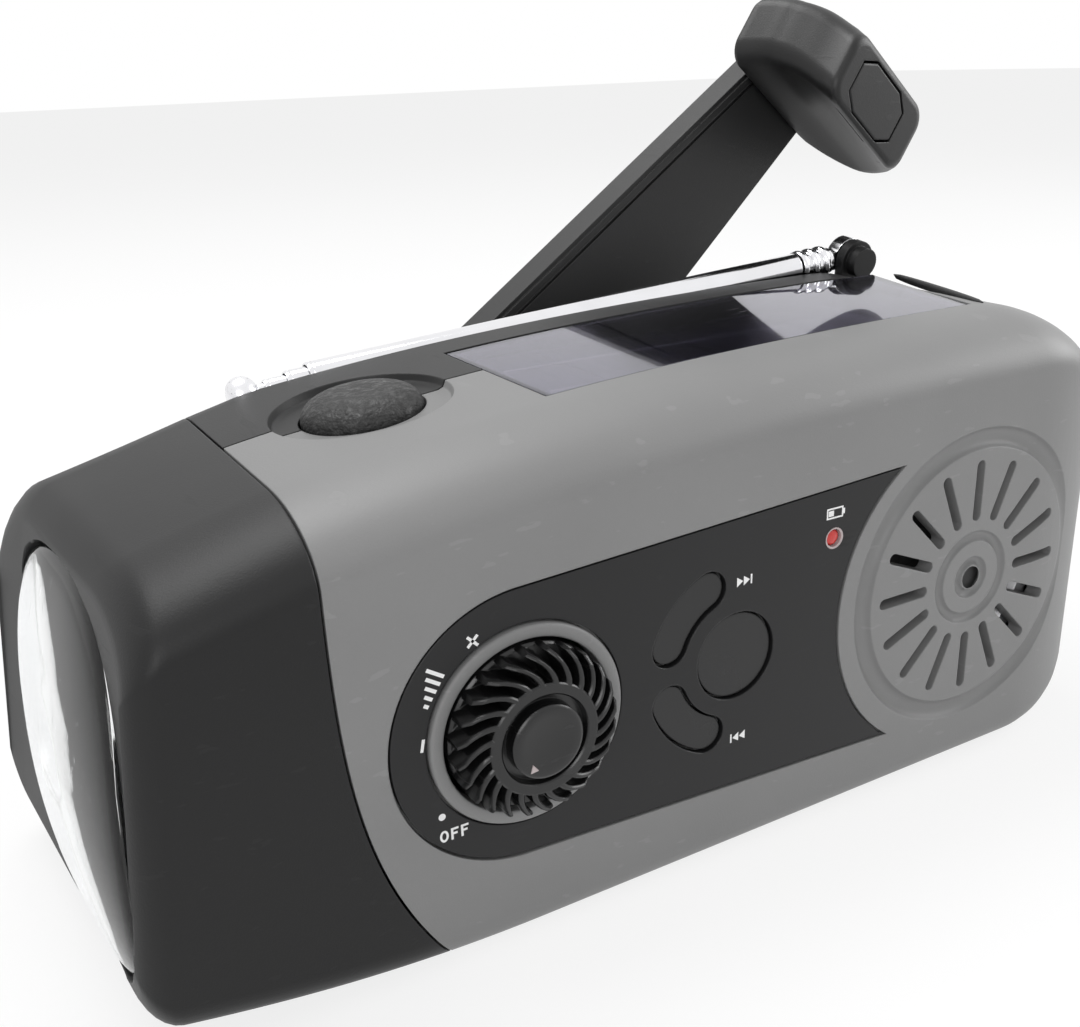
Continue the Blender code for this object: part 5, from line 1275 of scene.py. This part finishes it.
def handle_ring(level, low, high, left, right, ease, steps=8):
    half_along, half_across = (high - low) / 2 - ease, (right - left) / 2 - ease
    corner = min(half_across, half_along) * 0.55
    ring = []
    for quarter, (sx, sy) in enumerate(((1, 1), (-1, 1), (-1, -1), (1, -1))):
        centre = (-(high + low) / 2 + sx * (half_along - corner), (left + right) / 2 + sy * (half_across - corner))
        turn = math.pi / 2 * quarter
        ring += [(x, y, level) for x, y in arc(centre, corner, turn, turn + math.pi / 2, steps)]
    return ring


length, start, rings = 0.0192, 0.0006, []
easing = [(0.0, 0.0012), (0.00015, 0.0007), (0.0005, 0.00025), (0.0010, 0.0)]
for rise, ease in easing:
    rings.append(handle_ring(start + rise, *limits_at(rise / length), ease))
for k in range(1, 24):
    level = 0.0010 + (length - 0.0020) * k / 24
    rings.append(handle_ring(start + level, *limits_at(level / length), 0.0))
for rise, ease in reversed(easing):
    rings.append(handle_ring(start + length - rise, *limits_at(min(0.9999, 1 - rise / length)), ease))
grip = skin("crank_grip", rings, handle_place)


def octagon(grow):
    wide, deep = 0.0068 + grow, 0.0044 + grow
    points = []
    for sx, sy, first in ((1, 1, 0), (-1, 1, 1), (-1, -1, 0), (1, -1, 1)):
        pair = [(sx * deep, sy * wide * 0.58), (sx * deep * 0.58, sy * wide)]
        points += pair[::-1] if first else pair
    return [(x + 0.0005, y + 0.0006) for x, y in points]


carve(grip, "DIFFERENCE", plate("cap_well", [octagon(gap)], start + length - 0.0032, 0.03, handle_place),
      rod("pin_way", 0.0015, -0.01, 0.03, handle_place, 24))
fit(grip, crank_black, "handle", "crank_handle", slot="black_shell", crease=32.0)
cap = plate("grip_cap", [octagon(0.0)], start + length - 0.0012, start + length, handle_place, 0.0003, 3)
fit(cap, crank_black, "handle", "handle_cap", slot="black_shell")
print("handle has", len(grip.data.polygons), "faces")

# %% [markdown]
# ## The aerial
# Four bright tubes slide in one another and swivel on a screw. The outer tube ends in a rolled bead, each
# next tube shows a few millimetres, and the tip is a pitted ball.

# %% Aerial
eye = plate("aerial_swivel", [arc((0.0, 0.0), 0.0032, math.radians(28), math.radians(332), 40)
                              + [(0.0075, -0.0015), (0.0075, 0.0015)], circle((0.0, 0.0), 0.0014, 32)],
            -0.0011, 0.0011, aerial_place, 0.0003, 3)
third = 0.0065 / 6
profile = [(0.0, 0.0), (0.0018, 0.0)]
for step in range(3):
    low, high = third * 2 * step, third * (2 * step + 1)
    profile += [(0.0021, low + 0.0001), (0.0021, high - 0.0001), (0.0024, high), (0.0026, high + 0.0003),
                (0.0026, high + third - 0.0003), (0.0024, high + third)]
profile += [(0.0, third * 6)]
socket_place = along_aerial @ Matrix.Translation((0.0, 0.0, 0.0040))
carve(eye, "UNION", spin("socket", profile, socket_place, 64))
fit(eye, chrome, "aerial_1", "aerial_base", slot="chrome")
screw = spin("aerial_pivot_screw", [(0.0, -0.0040), (0.0012, -0.0040), (0.0012, 0.00125), (0.0021, 0.00125), (0.0021, 0.0017),
                                    (0.0018, 0.0020), (0.0, 0.0021)], aerial_place, 48)
carve(screw, "DIFFERENCE", block("cross", (-0.0014, -0.00022, 0.0016), (0.0014, 0.00022, 0.004), aerial_place),
      block("cross", (-0.00022, -0.0014, 0.0016), (0.00022, 0.0014, 0.004), aerial_place))
fit(screw, steel, "case", "aerial_screw", slot="steel")

tube_radii, tube_start, whole = (0.0023, 0.0018, 0.0013, 0.0009), 0.0108, 0.1027
for k, radius in enumerate(tube_radii):
    begin, end = tube_start + 0.0006 * k, whole - 0.0030 * (3 - k)
    if k < 3:
        inner_radius, floor_at = radius - 0.0003, tube_start + 0.0003 * (2 * k + 1)
        profile = [(0.0, begin), (radius - 0.0001, begin), (radius, begin + 0.0002), (radius, end - 0.0009),
                   (radius - 0.0001, end - 0.0007), (radius, end - 0.0005), (radius, end - 0.0002),
                   (radius - 0.0001, end), (inner_radius, end), (inner_radius, floor_at), (0.0, floor_at)]
        look = chrome
    else:
        ball = [(0.0024 * math.sin(t) ** 0.7, end - 0.0020 * math.cos(t)) for t in
                [math.pi * step / 20 for step in range(3, 20)]]
        profile = [(0.0, begin), (radius, begin), (radius, end - 0.0021)] + ball + [(0.0, end + 0.0020)]
        look = pitted_chrome
    tube = spin("aerial_stage_%d" % (k + 1), profile, along_aerial, 64)
    fit(tube, look, "aerial_%d" % (k + 1), "aerial_tube_%d" % (k + 1), slot="chrome", crease=30.0)
print("aerial made")

# %% [markdown]
# ## Screws in the back
# Four cross-headed screws sit at the bottom of round wells. Only their heads show, so the heads are modelled
# with a domed edge and a cut cross.

# %% Case screws
for k, (x, z) in enumerate(screw_places):
    place = frame_at((x, parting, z), (0.0, 1.0, 0.0))
    seat = 0.0063
    head = [(0.0, seat - 0.0180), (0.0012, seat - 0.0174), (0.0012, seat), (0.0025, seat), (0.0025, seat + 0.0008),
            (0.0021, seat + 0.0013), (0.0014, seat + 0.0016), (0.0, seat + 0.0016)]
    made = spin("case_fastener_%d" % (k + 1), head, place, 48)
    for turn in (0.0, math.pi / 2):
        spun = place @ Matrix.Rotation(turn + 0.3 * k, 4, "Z")
        carve(made, "DIFFERENCE", block("cross", (-0.0011, -0.00025, seat + 0.0008), (0.0011, 0.00025, seat + 0.004), spun))
    fit(made, steel, "case", "case_screw_%d" % (k + 1), slot="steel")
print("screws made")

# %% [markdown]
# ## Finishes for the pieces inside
# The speaker, the boards, the battery, the gears and the dynamo keep their CAD shapes. Each gets its own finish,
# so that a cut or an opened model doesn't show bare grey.

# %% Inner finishes
inside = {
    "speaker_cone": paper, "speaker_frame": steel, "speaker_magnet": steel, "main_board": board_green,
    "torch_led_board": board_green, "torch_switch_board": board_green, "tuner_chip": chip_resin,
    "battery_pack": sleeve, "volume_control": steel, "volume_shaft": acetal, "scan_forward_switch": steel,
    "scan_back_switch": steel, "centre_switch": steel, "torch_switch": steel, "gear_plate": steel,
    "first_gear_pin": steel, "second_gear_pin": steel, "dynamo": steel, "crank_bush": brass, "crank_shaft": steel,
    "crank_gear": acetal, "first_gear": acetal, "second_gear": acetal, "dynamo_pinion": brass, "hinge_pin": steel,
    "handle_pin": steel,
}
for name, look in inside.items():
    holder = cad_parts[name]
    for place in holder.material_slots:
        place.material = look.material
left_bare = [name for name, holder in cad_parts.items() if not holder.hide_render and name not in inside]
print("inner finishes set,", len(left_bare), "CAD pieces left bare", left_bare)
